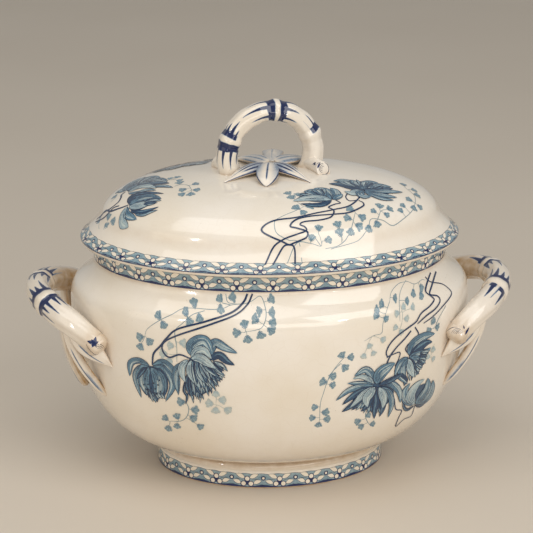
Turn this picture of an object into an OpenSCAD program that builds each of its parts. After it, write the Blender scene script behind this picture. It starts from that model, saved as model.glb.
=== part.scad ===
// Oval soup tureen with a lift-off lid, branch-like handles and applied leaves.
// Millimetres, +Z up. The origin is the centre of the foot's underside, +X runs along the oval
// to the right-hand handle, and -Y is the front.

/* [Bowl] */
// Half of the bowl's length at its widest
belly_half = 149.4; // [145:0.1:155]
// Height of the widest part
belly_z = 133; // [126:1:138]
// Width of the oval as a share of its length
oval = 0.75; // [0.7:0.01:0.8]
// Thickness of the fired wall
wall = 5; // [4:0.1:6]
// Height of the bowl's underside, which is also the foot's height
foot_h = 19.5; // [18:0.1:22]

/* [Collar] */
// Half length of the collar where it leaves the shoulder
collar_half = 131.5; // [129:0.1:133]
// Height of the collar's root
collar_z = 164; // [162:0.5:167]
// Height of the rim that carries the lid
rim_z = 177.2; // [176:0.1:179]
// How much the collar leans out on its way up
collar_lean = 1.2; // [0:0.1:2]

/* [Foot] */
// Half length of the foot at the table
foot_half = 86.6; // [84:0.1:90]
// Width of the foot as a share of its length
foot_oval = 0.76; // [0.74:0.01:0.78]
// Height of the foot's printed band
foot_band = 12.4; // [11:0.1:13]

/* [Lid] */
// Half length over the lip
lip_half = 141; // [139:0.1:143]
// Height of the lip's rounded edge
lip_h = 4; // [3:0.1:5]
// Half length of the dome where it leaves the flange
dome_half = 126.4; // [124:0.1:128]
// Height at which the dome leaves the flange
dome_z = 191.3; // [190:0.1:193]
// Height of the dome's crown
crown_z = 228; // [225:0.5:229]
// Gap between the rim and the lid's seat
seat_gap = 0.3; // [0.3:0.05:0.5]
// Depth of the ring that centres the lid inside the collar
ring_depth = 10; // [8:0.5:12]
// Play between that ring and the collar, measured along the length
ring_play = 2.3; // [1.5:0.1:3]

/* [Lid handle] */
// Radius of the loop to the middle of its branch
loop_r = 33; // [31:0.5:35]
// Radius of the branch
loop_tube = 8.5; // [8:0.1:9]
// Height of the loop's top
loop_top = 280.2; // [278:0.1:282]
// Turn of the loop about the vertical, left foot forward
loop_turn = 12; // [0:1:15]
// How far below its centre each leg of the loop runs on, in degrees
loop_tuck = 30; // [28:1:32]
// Height of the flat base of everything luted onto the lid
lid_root_z = 225.6; // [225.4:0.1:225.9]

/* [Side handles] */
// Distance from the centre to the middle of the branch at its furthest point
grip_reach = 173; // [171:0.5:175]
// Height of that point
grip_z = 140; // [138:0.5:142]
// Radius of the branch
grip_tube = 9.5; // [9:0.1:10]
// Radius of the cut branch ends on the bowl
stub_r = 7.6; // [7:0.1:8]

/* [Hidden] */
$fn = 96;

glaze = "#efe6d2";
leaf_blue = "#9fb2ba";
// Half length of the bowl's flat underside, and of the flat floor inside it
floor_half = 82;
inner_floor_half = 76;
// The inside is narrower than the outside, so that the wall is as thick at the front as at the ends
inner_oval = (belly_half * oval - wall) / (belly_half - wall);
seat_z = rim_z + seat_gap;
ring_half = collar_half + collar_lean - wall - ring_play;
// How full the dome's curve is at its sides and at its crown; 2 would be an ellipse
dome_round = 2.446;
crown_round = 2.326;
edge_r = 1.5;
// Where a side loop lands on the front right of the bowl, and which way it leaves
land = [133, -60, 118];
land_out = [16, 4, 15];
grip_bow = 30;
// Middle of the cut end of the branch, on the front right of the bowl
stub_end = [127.5, -65.2, 112];

// ---- curves -------------------------------------------------------------------------------

function unit(v) = v / norm(v);

function bezier(p, t) =
    pow(1 - t, 3) * p[0] + 3 * pow(1 - t, 2) * t * p[1] + 3 * (1 - t) * t * t * p[2] + pow(t, 3) * p[3];

function curve(p, steps) = [for (i = [0:steps]) bezier(p, i / steps)];

// A quarter of a superellipse from the point (half, low) up to the point (0, high)
function dome_curve(half, low, high, steps) = [for (i = [0:steps]) let (a = 90 * i / steps)
    [half * pow(cos(a), 2 / dome_round), low + (high - low) * pow(sin(a), 2 / crown_round)]];

function fillet(centre, r, from, to, steps = 4) = [for (i = [0:steps])
    let (a = from + (to - from) * i / steps) centre + r * [cos(a), sin(a)]];

function mirrored(path) = [for (i = [len(path) - 2:-1:0]) [path[i].x, -path[i].y, path[i].z]];

function tangent(path, i) = unit(path[min(i + 1, len(path) - 1)] - path[max(i - 1, 0)]);

// One elliptical ring of the swept skin: half widths w across and h along the face direction
function ring_at(c, dir, face, w, h, sides) = let (across = unit(cross(face, dir)), lift = cross(dir, across))
    [for (k = [0:sides - 1]) c + across * w * cos(360 * k / sides) + lift * h * sin(360 * k / sides)];

// A closed skin along a path. sizes holds [w, h] for each of the path's points
module swept(path, sizes, face, sides) {
    n = len(path);
    rings = [for (i = [0:n - 1])
        each ring_at(path[i], tangent(path, i), face, sizes[i][0], sizes[i][1], sides)];
    skin = [for (i = [0:n - 2], k = [0:sides - 1]) let (a = i * sides + k, b = i * sides + (k + 1) % sides)
        each [[a, a + sides, b + sides], [a, b + sides, b]]];
    first = [for (k = [0:sides - 1]) k];
    last = [for (k = [sides - 1:-1:0]) (n - 1) * sides + k];
    polyhedron(points = rings, faces = concat([first], skin, [last]), convexity = 4);
}

// A leaf blade: narrow at its root, widest part way along and drawn out to a tip
module blade(p, root, broad, tip, thick, face, steps = 12) {
    sizes = [for (i = [0:steps]) let (t = i / steps, belly = pow(sin(180 * pow(t, 0.8)), 1.2))
        [root * (1 - t) + tip * t + broad * belly, thick * (0.45 + 0.55 * belly)]];
    swept(curve(p, steps), sizes, face, 12);
}

// Repeats a right-hand, front piece at the end and side that its two signs name
module at_corner(end, side) {
    mirror([end < 0 ? 1 : 0, 0, 0]) mirror([0, side > 0 ? 1 : 0, 0]) children();
}

// An outline turned into an oval solid, as two half turns that meet on the long axis
module oval_turned(share, outline) {
    for (turn = [0, 180])
        scale([1, share, 1]) rotate([0, 0, turn]) rotate_extrude(angle = 180) polygon(outline);
}

// A rounded peg from one point to another
module peg(from, to, r, nose) {
    v = to - from;
    translate(from) rotate([0, acos(v.z / norm(v)), atan2(v.y, v.x)])
        rotate_extrude($fn = 48) polygon(concat([[0, 0], [r, 0]],
            fillet([r - nose, norm(v) - nose], nose, 0, 90), [[0, norm(v)]]));
}

// ---- tureen -------------------------------------------------------------------------------

// Half outline of the bowl from its underside to the collar's root, drawn in by inset
function bowl_side(inset, start_half) = concat(
    curve([[start_half, foot_h + inset], [121.4 - inset, foot_h + 6.2 + inset],
        [belly_half - inset, 61 + inset * 0.6], [belly_half - inset, belly_z]], 22),
    curve([[belly_half - inset, belly_z], [belly_half - inset, belly_z + 20.5],
        [139.2 - inset, 147.4], [collar_half - inset, collar_z + inset * 0.2]], 12));

module bowl() color(glaze) difference() {
    oval_turned(oval, concat([[0, foot_h]], bowl_side(0, floor_half),
        fillet([collar_half + collar_lean - edge_r, rim_z - edge_r], edge_r, 0, 90), [[0, rim_z]]));
    oval_turned(inner_oval, concat([[0, foot_h + wall]], bowl_side(wall, inner_floor_half),
        [[collar_half + collar_lean - wall, rim_z], [collar_half + collar_lean - wall, rim_z + 5],
            [0, rim_z + 5]]));
}

module foot_ring() color(glaze) oval_turned(foot_oval, concat(
    [[foot_half - 7.6, 0], [foot_half - 1, 0], [foot_half, 1], [foot_half - 0.6, foot_band],
        [foot_half - 1.6, foot_band + 0.5]],
    curve([[foot_half - 1.6, foot_band + 0.5], [foot_half + 0.4, foot_band + 2.4],
        [foot_half - 0.4, foot_h - 1.2], [floor_half, foot_h]], 6),
    [[floor_half - 5, foot_h], [floor_half - 5.5, foot_h / 2]]));

function grip_path(steps) = let (crest = [grip_reach, 0, grip_z],
    half = curve([land, land + land_out, crest - [0, grip_bow, 0], crest], steps))
    concat(half, mirrored(half));

module side_handle(end) color(glaze) {
    path = grip_path(14);
    sizes = [for (p = path) [grip_tube, grip_tube]];
    at_corner(end, -1) swept(path, sizes, [0, 0, 1], 20);
}

module stub(end, side) color(glaze)
    at_corner(end, side) peg(land + [0.4, -0.5, 0.6], stub_end, stub_r, 2.5);

module leaf(end, side) color(leaf_blue) at_corner(end, side)
    blade([[146, -54, 119], [138, -59, 114], [128, -63, 107], [120, -63.5, 99.5]],
        1.5, 7, 0.6, 3.2, [0.62, -0.68, 0.4]);

module frond(end, side) color(leaf_blue) at_corner(end, side)
    blade([[151, -49, 122], [149, -48, 106], [138, -47, 88], [124.5, -46, 71.5]],
        3, 5, 2, 3.4, [0.8, -0.55, 0]);

module bud(end, side) color(leaf_blue) at_corner(end, side) {
    steps = 12;
    path = curve([[152, -44, 120], [152, -34, 104], [149.5, -20, 88], [139, -13, 67]], steps);
    sizes = [for (i = [0:steps]) let (t = i / steps, bulb = 3.2 + 2 * pow(t, 3), nose = sqrt(1 - pow(t, 12)))
        [max(0.5, bulb * nose), max(0.5, bulb * nose)]];
    swept(path, sizes, [1, 0, 0], 12);
}

// ---- lid ----------------------------------------------------------------------------------

module lid_dome() color(glaze) difference() {
    oval_turned(oval, concat([[0, seat_z], [lip_half - 1.2, seat_z]],
        fillet([lip_half - 1.2, seat_z + 1.2], 1.2, -90, 0),
        fillet([lip_half - 1.6, seat_z + lip_h - 1.6], 1.6, 0, 60),
        curve([[lip_half - 2, seat_z + lip_h + 0.6], [lip_half - 5, dome_z - 4],
            [dome_half + 3.4, dome_z - 1.6], [dome_half, dome_z]], 6),
        dome_curve(dome_half, dome_z, crown_z, 18)));
    oval_turned(inner_oval, concat([[0, seat_z - 5], [dome_half - wall, seat_z - 5]],
        dome_curve(dome_half - wall, dome_z - 2, crown_z - wall, 14)));
}

module lid_locating_ring() color(glaze) oval_turned(inner_oval, [
    [ring_half, seat_z], [ring_half - 4, seat_z], [ring_half - 4, seat_z - ring_depth + 1],
    [ring_half - 3, seat_z - ring_depth], [ring_half - 1.8, seat_z - ring_depth],
    [ring_half - 0.8, seat_z - ring_depth + 1]]);

// Cuts what is luted onto the lid flat, at the height where it meets the crown
module cut_flat() difference() {
    children();
    translate([-60, -60, lid_root_z - 40]) cube([120, 120, 40]);
}

module lid_handle() color(glaze) cut_flat()
    translate([0, 0, loop_top - loop_tube - loop_r]) rotate([90, 0, loop_turn]) rotate([0, 0, -loop_tuck])
        rotate_extrude(angle = 180 + 2 * loop_tuck) translate([loop_r, 0]) circle(loop_tube, $fn = 48);

// A three-lobed leaf in front of the loop
module lid_leaf(turn) color(leaf_blue) rotate([0, 0, turn]) cut_flat() {
    blade([[-2, -6, 231], [-3, -16, 234], [-5, -32, 229], [-7, -43, 226.4]], 4, 6, 0.6, 3.4, [0, 0, 1]);
    blade([[-4, -7, 230], [-14, -12, 231.5], [-26, -22, 228.5], [-36, -30.5, 226.2]],
        2.5, 4, 0.6, 2.4, [0, 0, 1]);
    blade([[1, -7, 230], [9, -14, 231.5], [18, -26, 228.5], [26, -36, 226.2]],
        2.5, 4, 0.6, 2.4, [0, 0, 1]);
}

// The short branch end beside a foot of the loop
module lid_stub(turn) color(glaze) rotate([0, 0, turn]) cut_flat()
    peg([31, 4, 231], [41, -14, 229.5], 5.4, 1.6);

bowl();
foot_ring();
side_handle(-1);  // left_handle
stub(-1, -1);  // left_front_stub
stub(-1, 1);  // left_rear_stub
leaf(-1, -1);  // left_front_leaf
leaf(-1, 1);  // left_rear_leaf
frond(-1, -1);  // left_front_frond
frond(-1, 1);  // left_rear_frond
bud(-1, -1);  // left_front_bud
bud(-1, 1);  // left_rear_bud
side_handle(1);  // right_handle
stub(1, -1);  // right_front_stub
stub(1, 1);  // right_rear_stub
leaf(1, -1);  // right_front_leaf
leaf(1, 1);  // right_rear_leaf
frond(1, -1);  // right_front_frond
frond(1, 1);  // right_rear_frond
bud(1, -1);  // right_front_bud
bud(1, 1);  // right_rear_bud
lid_dome();
lid_locating_ring();
lid_handle();
lid_leaf(0);  // lid_front_leaf
lid_leaf(180);  // lid_rear_leaf
lid_stub(180);  // lid_left_stub
lid_stub(0);  // lid_right_stub
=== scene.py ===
"""Looks of an oval faience soup tureen: ivory glaze, branch-like handles, applied leaves and a blue
transfer print. Lengths are in millimetres until a mesh is made. +X runs to the right-hand handle
and -Y is the front, as in the frame."""
import math

import bpy
import numpy as np
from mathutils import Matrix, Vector
from mathutils.bvhtree import BVHTree
from mathutils.geometry import delaunay_2d_cdt


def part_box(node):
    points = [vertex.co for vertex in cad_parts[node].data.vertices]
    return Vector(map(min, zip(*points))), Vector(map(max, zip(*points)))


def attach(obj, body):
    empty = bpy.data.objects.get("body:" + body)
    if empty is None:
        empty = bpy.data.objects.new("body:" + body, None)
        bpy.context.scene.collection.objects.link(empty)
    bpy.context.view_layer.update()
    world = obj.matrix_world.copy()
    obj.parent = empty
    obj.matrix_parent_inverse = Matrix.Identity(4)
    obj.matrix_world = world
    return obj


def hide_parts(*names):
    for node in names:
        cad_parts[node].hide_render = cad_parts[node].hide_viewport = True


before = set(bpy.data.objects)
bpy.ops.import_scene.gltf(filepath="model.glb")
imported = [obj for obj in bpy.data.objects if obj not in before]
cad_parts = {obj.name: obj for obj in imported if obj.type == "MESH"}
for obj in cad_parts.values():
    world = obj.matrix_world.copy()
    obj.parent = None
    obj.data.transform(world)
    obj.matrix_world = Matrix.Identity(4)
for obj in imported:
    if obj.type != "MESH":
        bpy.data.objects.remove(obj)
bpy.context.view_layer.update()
MM = 0.001


def highest(node):
    return [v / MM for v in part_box(node)[1]]


def lowest(node):
    return [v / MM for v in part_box(node)[0]]


# ---- sizes, from the frame where a node's box gives them ----

# A half length is along X, and an oval is a body's depth as a share of its length
BELLY_HALF = highest("bowl")[0]
OVAL = highest("bowl")[1] / BELLY_HALF
RIM_Z = highest("bowl")[2]
FOOT_H = lowest("bowl")[2]
FOOT_HALF = highest("foot_ring")[0]
FOOT_OVAL = highest("foot_ring")[1] / FOOT_HALF
LIP_HALF = highest("lid_dome")[0]
SEAT_Z = lowest("lid_dome")[2]
CROWN_Z = highest("lid_dome")[2]
LOOP_TOP = highest("lid_handle")[2]
LID_ROOT_Z = lowest("lid_handle")[2]
WALL = 5.0
# Radius of the rim's outer edge
RIM_ROUND = 1.5
INNER_OVAL = (BELLY_HALF * OVAL - WALL) / (BELLY_HALF - WALL)
BELLY_Z = 133.0
FLOOR_HALF = 82.0
INNER_FLOOR_HALF = 76.0
COLLAR_HALF = 131.5
COLLAR_TOP_HALF = COLLAR_HALF + 1.2
COLLAR_Z = 164.0
FOOT_BAND = 12.4
LIP_H = 4.0
# Radii of the lip's edge above and below
LIP_ROUND, LIP_UNDER = 1.6, 1.2
DOME_HALF = 126.4
DOME_Z = 191.3
# Powers of the dome's superellipse across and up
DOME_FLANK, DOME_CREST = 2.446, 2.326
RING_HALF = COLLAR_TOP_HALF - WALL - 2.3
RING_DEPTH = 10.0
RING_WALL = 4.0
LOOP_R = 33.0
LOOP_TUBE = 8.5
# How far the loop is turned round the vertical, and how far its feet tuck in under it
LOOP_TURN = math.radians(12)
LOOP_TUCK = math.radians(30)
GRIP_TUBE = 9.5
GRIP_CREST = (highest("right_handle")[0] - GRIP_TUBE, 0.0, 140.0)
# Where the right-hand handle's front arm lands on the bowl
LAND = (133.0, -60.0, 118.0)


# ---- curves ----

def bezier(points, steps):
    """A cubic Bezier curve."""
    p = np.array(points, float)
    t = np.linspace(0, 1, steps + 1)[:, None]
    return (1 - t) ** 3 * p[0] + 3 * (1 - t) ** 2 * t * p[1] + 3 * (1 - t) * t ** 2 * p[2] + t ** 3 * p[3]


def arc(centre, radius, start, end, steps=5):
    """Points round part of a circle, from one angle in degrees to another."""
    a = np.radians(np.linspace(start, end, steps + 1))
    return np.array(centre) + radius * np.stack([np.cos(a), np.sin(a)], 1)


def line(start, end, steps):
    return np.linspace(start, end, steps + 1)


def chain(*parts):
    """The parts one after another, without the points that they share."""
    points = np.concatenate([np.atleast_2d(np.array(p, float)) for p in parts])
    gap = np.linalg.norm(np.diff(points, axis=0), axis=1)
    return points[np.concatenate([[True], gap > 1e-6])]


def lengths(points):
    """Distance along a polyline to each of its points."""
    return np.concatenate([[0], np.cumsum(np.linalg.norm(np.diff(points, axis=0), axis=1))])


def smooth_path(points, spacing, closed=False):
    """A Catmull-Rom curve through the points, with its own points about spacing apart."""
    p = np.array(points, float)
    if closed:
        p = np.concatenate([p[-1:], p, p[:2]])
    else:
        p = np.concatenate([2 * p[:1] - p[1:2], p, 2 * p[-1:] - p[-2:-1]])
    out = []
    for a, b, c, d in zip(p[:-3], p[1:-2], p[2:-1], p[3:]):
        steps = max(1, int(math.ceil(np.linalg.norm(c - b) / spacing)))
        t = np.arange(steps)[:, None] / steps
        out.append(0.5 * (2 * b + (c - a) * t + (2 * a - 5 * b + 4 * c - d) * t ** 2
                          + (3 * b - a - 3 * c + d) * t ** 3))
    if not closed:
        out.append(p[-2:-1])
    return np.concatenate(out)


def unit(v):
    return v / np.maximum(np.linalg.norm(v, axis=-1, keepdims=True), 1e-12)


# ---- meshes ----

def grid_faces(rows, columns, wrap_columns=False, wrap_rows=False):
    faces = []
    for i in range(rows if wrap_rows else rows - 1):
        for j in range(columns if wrap_columns else columns - 1):
            a, b = i * columns, ((i + 1) % rows) * columns
            k = (j + 1) % columns
            faces.append((a + j, a + k, b + k, b + j))
    return faces


def capped(rows, columns):
    """Faces of rings of points, closed by two more points: one for each end."""
    faces = grid_faces(rows, columns, wrap_columns=True)
    first, last, end = rows * columns, rows * columns + 1, (rows - 1) * columns
    for j in range(columns):
        k = (j + 1) % columns
        faces += [(first, k, j), (last, end + j, end + k)]
    return faces


def facing_out(points, faces):
    """The faces of a closed skin, turned over if they face inwards."""
    volume = 0.0
    for corners in (3, 4):
        same = np.array([face for face in faces if len(face) == corners])
        for k in range(1, corners - 1 if len(same) else 1):
            a, b, c = points[same[:, 0]], points[same[:, k]], points[same[:, k + 1]]
            volume += np.sum(a * np.cross(b, c))
    return faces if volume > 0 else [tuple(reversed(face)) for face in faces]


def linked(name, data):
    made = bpy.data.objects.new(name, data)
    bpy.context.scene.collection.objects.link(made)
    return made


def piece(name, points, faces, material, body, nodes=(), slot="ivory_glaze", closed=True, **paint):
    """A visible piece. paint gives a value for each point, from 0 to 1, by the attribute's name."""
    mesh = bpy.data.meshes.new(name)
    mesh.from_pydata((points * MM).tolist(), [], facing_out(points, faces) if closed else faces)
    mesh.update()
    mesh.shade_smooth()
    for attribute, values in paint.items():
        layer = mesh.attributes.new(attribute, "FLOAT", "POINT")
        layer.data.foreach_set("value", np.clip(values, 0, 1).astype(np.float32))
    made = linked(name, mesh)
    mesh.materials.append(material)
    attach(made, body)
    if nodes:
        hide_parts(*nodes)


def turned(outline, segments, closed=False):
    """Points and faces of an outline of (half length, height, share) turned into an oval.
    An open outline starts and ends on the axis; a closed one goes round like a ring's."""
    outline = np.array(outline, float)
    rings = outline if closed else outline[1:-1]
    a = np.linspace(0, 2 * math.pi, segments, endpoint=False)
    x = rings[:, :1] * np.cos(a)
    y = rings[:, :1] * rings[:, 2:] * np.sin(a)
    z = np.repeat(rings[:, 1:2], segments, 1)
    points = np.stack([x, y, z], 2).reshape(-1, 3)
    if closed:
        return points, grid_faces(len(rings), segments, wrap_columns=True, wrap_rows=True)
    points = np.concatenate([points, [[0, 0, outline[0][1]], [0, 0, outline[-1][1]]]])
    return points, capped(len(rings), segments)


def with_share(outline, share):
    return np.concatenate([outline, np.full((len(outline), 1), share)], 1)


# ---- outlines of the thrown and moulded bodies ----

def bowl_side(inset, start_half, density=1.0):
    """Half outline of the bowl from its underside to the collar's root, drawn in by inset."""
    widest = BELLY_HALF - inset
    return chain(
        bezier([(start_half, FOOT_H + inset), (121.4 - inset, FOOT_H + 6.2 + inset),
                (widest, 61 + inset * 0.6), (widest, BELLY_Z)], int(64 * density)),
        bezier([(widest, BELLY_Z), (widest, BELLY_Z + 20.5), (139.2 - inset, 147.4),
                (COLLAR_HALF - inset, COLLAR_Z + inset * 0.2)], int(36 * density)))


def bowl_outside(density=1.0):
    side = bowl_side(0, FLOOR_HALF, density)
    return chain(side, line(side[-1], (COLLAR_TOP_HALF, RIM_Z - RIM_ROUND), int(8 * density)))


def dome(half, base, crown, angles):
    """Half outline of a dome, which is a superellipse, at angles in degrees up to 90 at its crown."""
    a = np.radians(angles)
    curve = np.stack([half * np.cos(a) ** (2 / DOME_FLANK),
                      base + (crown - base) * np.sin(a) ** (2 / DOME_CREST)], 1)
    curve[int(np.argmax(a)), 0] = 0
    return curve


def lid_outside(density=1.0):
    """Half outline from the lip's rounded edge, over the flange and the dome, to the crown."""
    top = dome(DOME_HALF, DOME_Z, CROWN_Z, np.linspace(10, 90, int(84 * density)))
    lip_top = SEAT_Z + LIP_H
    return chain(
        line((LIP_HALF, SEAT_Z + LIP_UNDER), (LIP_HALF, lip_top - LIP_ROUND), 2),
        arc((LIP_HALF - LIP_ROUND, lip_top - LIP_ROUND), LIP_ROUND, 0, 60),
        bezier([(LIP_HALF - 2, lip_top + 0.6), (LIP_HALF - 6.3, DOME_Z - 5),
                top[0] - unit(top[1] - top[0]) * 7, top[0]], int(20 * density)), top)


def foot_outside(density=1.0):
    return chain(
        arc((FOOT_HALF - 1, 1), 1, -90, 0, 4),
        line((FOOT_HALF, 1), (FOOT_HALF - 0.6, FOOT_BAND), int(8 * density)),
        bezier([(FOOT_HALF - 0.6, FOOT_BAND), (FOOT_HALF - 0.7, FOOT_BAND + 0.6),
                (FOOT_HALF - 1.4, FOOT_BAND + 0.5), (FOOT_HALF - 1.6, FOOT_BAND + 0.8)], 4),
        bezier([(FOOT_HALF - 1.6, FOOT_BAND + 0.8), (FOOT_HALF + 0.2, FOOT_BAND + 2.4),
                (FOOT_HALF - 0.4, FOOT_H - 1.2), (FLOOR_HALF, FOOT_H)], int(10 * density)))


FULL_TURN = np.linspace(0, 2 * math.pi, 1441)


class Oval:
    """The skin that an outline makes when it is turned into an oval. A place on it is an angle round
    the axis and a distance s along the outline, where the half length is h and the height is z."""

    def __init__(self, outline, share):
        self.s = lengths(outline)
        self.h, self.z, self.share = outline[:, 0], outline[:, 1], share
        self.dh, self.dz = np.gradient(self.h, self.s), np.gradient(self.z, self.s)

    def at(self, angle, s):
        h, z = np.interp(s, self.s, self.h), np.interp(s, self.s, self.z)
        dh, dz = np.interp(s, self.s, self.dh), np.interp(s, self.s, self.dz)
        cos, sin = np.cos(angle), np.sin(angle)
        points = np.stack([h * cos, self.share * h * sin, z], -1)
        return points, unit(np.stack([self.share * dz * cos, dz * sin, -self.share * dh], -1))

    def front(self, plane, turn=0.0):
        """For points (x, z) of the front elevation. turn moves them round to another side."""
        s = np.interp(plane[:, 1], self.z, self.s)
        h = np.interp(s, self.s, self.h)
        return self.at(turn - np.arccos(np.clip(plane[:, 0] / h, -1, 1)), s)

    def plan(self, plane, turn=0.0):
        """For points (x, y) seen from above."""
        h = np.hypot(plane[:, 0], plane[:, 1] / self.share)
        s = np.interp(-h, -self.h, self.s)
        return self.at(turn + np.arctan2(plane[:, 1] / self.share, plane[:, 0]), s)

    def girth(self, s, a):
        """Points of the ring at s at the angles a, and the distance round it to each."""
        h = np.interp(s, self.s, self.h)
        ring = np.stack([h * np.cos(a), h * self.share * np.sin(a)], 1)
        return ring, lengths(ring)

    def band(self, plane, base, middle):
        """For points (distance round the oval, distance up from base)."""
        turn = self.girth(middle, FULL_TURN)[1]
        share = (plane[:, 0] / turn[-1]) % 1.0
        return self.at(np.interp(share, turn / turn[-1], FULL_TURN), base + plane[:, 1])


# The skins that print is laid on follow the outlines in finer steps
FINE = 8
BOWL = Oval(bowl_outside(FINE), OVAL)
LID = Oval(lid_outside(FINE), OVAL)
FOOT = Oval(foot_outside(FINE), FOOT_OVAL)


# ---- materials ----

def srgb(r, g, b):
    def linear(v):
        v /= 255
        return v / 12.92 if v <= 0.04045 else ((v + 0.055) / 1.055) ** 2.4
    return (linear(r), linear(g), linear(b), 1.0)


class Shader:
    """A material with a Principled shader and short calls for the nodes that feed it."""

    def __init__(self, name, roughness, coat=0.0):
        self.material = bpy.data.materials.new(name)
        self.material.use_nodes = True
        self.tree = self.material.node_tree
        self.surface = self.tree.nodes["Principled BSDF"]
        self.surface.inputs["Roughness"].default_value = roughness
        self.surface.inputs["IOR"].default_value = 1.5
        self.surface.inputs["Coat Weight"].default_value = coat
        self.surface.inputs["Coat Roughness"].default_value = 0.06
        self.place = self.node("ShaderNodeTexCoord").outputs["Object"]

    def node(self, kind, **settings):
        made = self.tree.nodes.new(kind)
        for key, value in settings.items():
            setattr(made, key, value)
        return made

    def link(self, a, b):
        self.tree.links.new(a, b)

    def noise(self, size, detail, rough=0.5, distortion=0.0):
        """Noise whose marks are about size metres across."""
        made = self.node("ShaderNodeTexNoise")
        made.inputs["Scale"].default_value = 1 / size
        made.inputs["Detail"].default_value = detail
        made.inputs["Roughness"].default_value = rough
        made.inputs["Distortion"].default_value = distortion
        self.link(self.place, made.inputs["Vector"])
        return made.outputs["Fac"]

    def cells(self, size, feature):
        made = self.node("ShaderNodeTexVoronoi", feature=feature)
        made.inputs["Scale"].default_value = 1 / size
        self.link(self.place, made.inputs["Vector"])
        return made.outputs["Distance"]

    def ramp(self, value, low, high, start=0.0, end=1.0):
        made = self.node("ShaderNodeMapRange")
        for key, v in (("From Min", low), ("From Max", high), ("To Min", start), ("To Max", end)):
            made.inputs[key].default_value = v
        self.link(value, made.inputs["Value"])
        return made.outputs["Result"]

    def product(self, a, b):
        made = self.node("ShaderNodeMath", operation="MULTIPLY")
        self.link(a, made.inputs[0])
        self.link(b, made.inputs[1])
        return made.outputs["Value"]

    def mix(self, factor, a, b):
        """A mix of two colours, each from a socket or given as a tuple."""
        made = self.node("ShaderNodeMix", data_type="RGBA")
        self.link(factor, made.inputs["Factor"])
        # A Mix node has its colour sockets after those for numbers and vectors
        for key, v in (("A", a), ("B", b)):
            socket = [s for s in made.inputs if s.name == key and s.type == "RGBA"][0]
            if isinstance(v, tuple):
                socket.default_value = v
            else:
                self.link(v, socket)
        return [s for s in made.outputs if s.type == "RGBA"][0]

    def attribute(self, name):
        return self.node("ShaderNodeAttribute", attribute_name=name).outputs["Fac"]

    def bump(self, height, depth, before=None):
        """Bump of that depth in metres."""
        made = self.node("ShaderNodeBump")
        made.inputs["Distance"].default_value = depth
        made.inputs["Strength"].default_value = 1.0
        self.link(height, made.inputs["Height"])
        if before is not None:
            self.link(before, made.inputs["Normal"])
        self.link(made.outputs["Normal"], self.surface.inputs["Normal"])
        return made.outputs["Normal"]

    def colour(self, value):
        self.link(value, self.surface.inputs["Base Color"])
        return self.material


IVORY = srgb(243, 236, 225)
IVORY_WARM = srgb(236, 226, 209)
# Brown of glaze stains and crazing, also used for painted shade in creases, under parts and on sides turned
# from the light
STAIN_AND_SHADE = srgb(180, 142, 90)
SPECK = srgb(120, 84, 52)
NAVY = srgb(14, 32, 80)
THIN_BLUE = srgb(104, 136, 168)


def ivory(shader):
    """Ivory glaze: slow changes of tone, fine specks and a faint network of crazing."""
    base = shader.mix(shader.ramp(shader.noise(0.055, 3.0), 0.35, 0.7), IVORY, IVORY_WARM)
    craze = shader.ramp(shader.cells(0.0085, "DISTANCE_TO_EDGE"), 0.0, 0.03, 0.05, 0.0)
    base = shader.mix(craze, base, STAIN_AND_SHADE)
    sparse = shader.ramp(shader.noise(0.040, 1.0), 0.60, 0.66)
    specks = shader.ramp(shader.cells(0.0040, "F1"), 0.04, 0.10, 0.5, 0.0)
    return shader.mix(shader.product(specks, sparse), base, SPECK)


def glazed(name):
    """A glossy shader with slow waves of the moulded body and the fine skin of the glaze."""
    shader = Shader(name, 0.10, coat=0.6)
    waves = shader.bump(shader.noise(0.030, 1.0), 0.00045)
    shader.bump(shader.noise(0.0035, 2.0), 0.000012, waves)
    return shader


def glaze_material(name, brushed):
    """Ivory glaze browned by a mesh's stain values, which hold real glaze stain and painted shade, with its
    "blue" brushed over it.
    """
    shader = glazed(name)
    base = ivory(shader)
    blotch = shader.ramp(shader.noise(0.006, 4.0), 0.25, 0.75, 0.55, 1.25)
    # Painted shade: each mesh's stain values darken creases, undersides and inner sides as shade would, along
    # with real glaze stain
    base = shader.mix(shader.product(shader.attribute("stain"), blotch), base, STAIN_AND_SHADE)
    if brushed:
        streak = shader.ramp(shader.noise(0.0016, 3.0, distortion=0.6), 0.2, 0.8, 0.72, 1.15)
        wet = shader.product(shader.attribute("blue"), streak)
        shallow = shader.mix(shader.ramp(wet, 0.0, 0.5), base, THIN_BLUE)
        base = shader.mix(shader.ramp(wet, 0.32, 0.80), shallow, NAVY)
    return shader.colour(base)


def ink_material(name, tone, other):
    """Print under the glaze: two close tones of blue, mottled as a transfer is."""
    shader = glazed(name)
    mottle = shader.ramp(shader.noise(0.0022, 4.0, 0.6), 0.3, 0.72)
    return shader.colour(shader.mix(mottle, tone, other))


def bare_clay_material():
    shader = Shader("bare_clay", 0.75)
    shader.bump(shader.noise(0.0012, 4.0, 0.7), 0.00012)
    dirt = shader.ramp(shader.noise(0.012, 4.0), 0.35, 0.7)
    return shader.colour(shader.mix(dirt, srgb(206, 180, 146), srgb(160, 128, 94)))


GLAZE = glaze_material("ivory_glaze", False)
PAINTED = glaze_material("blue_painted_glaze", True)
CLAY = bare_clay_material()
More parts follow.
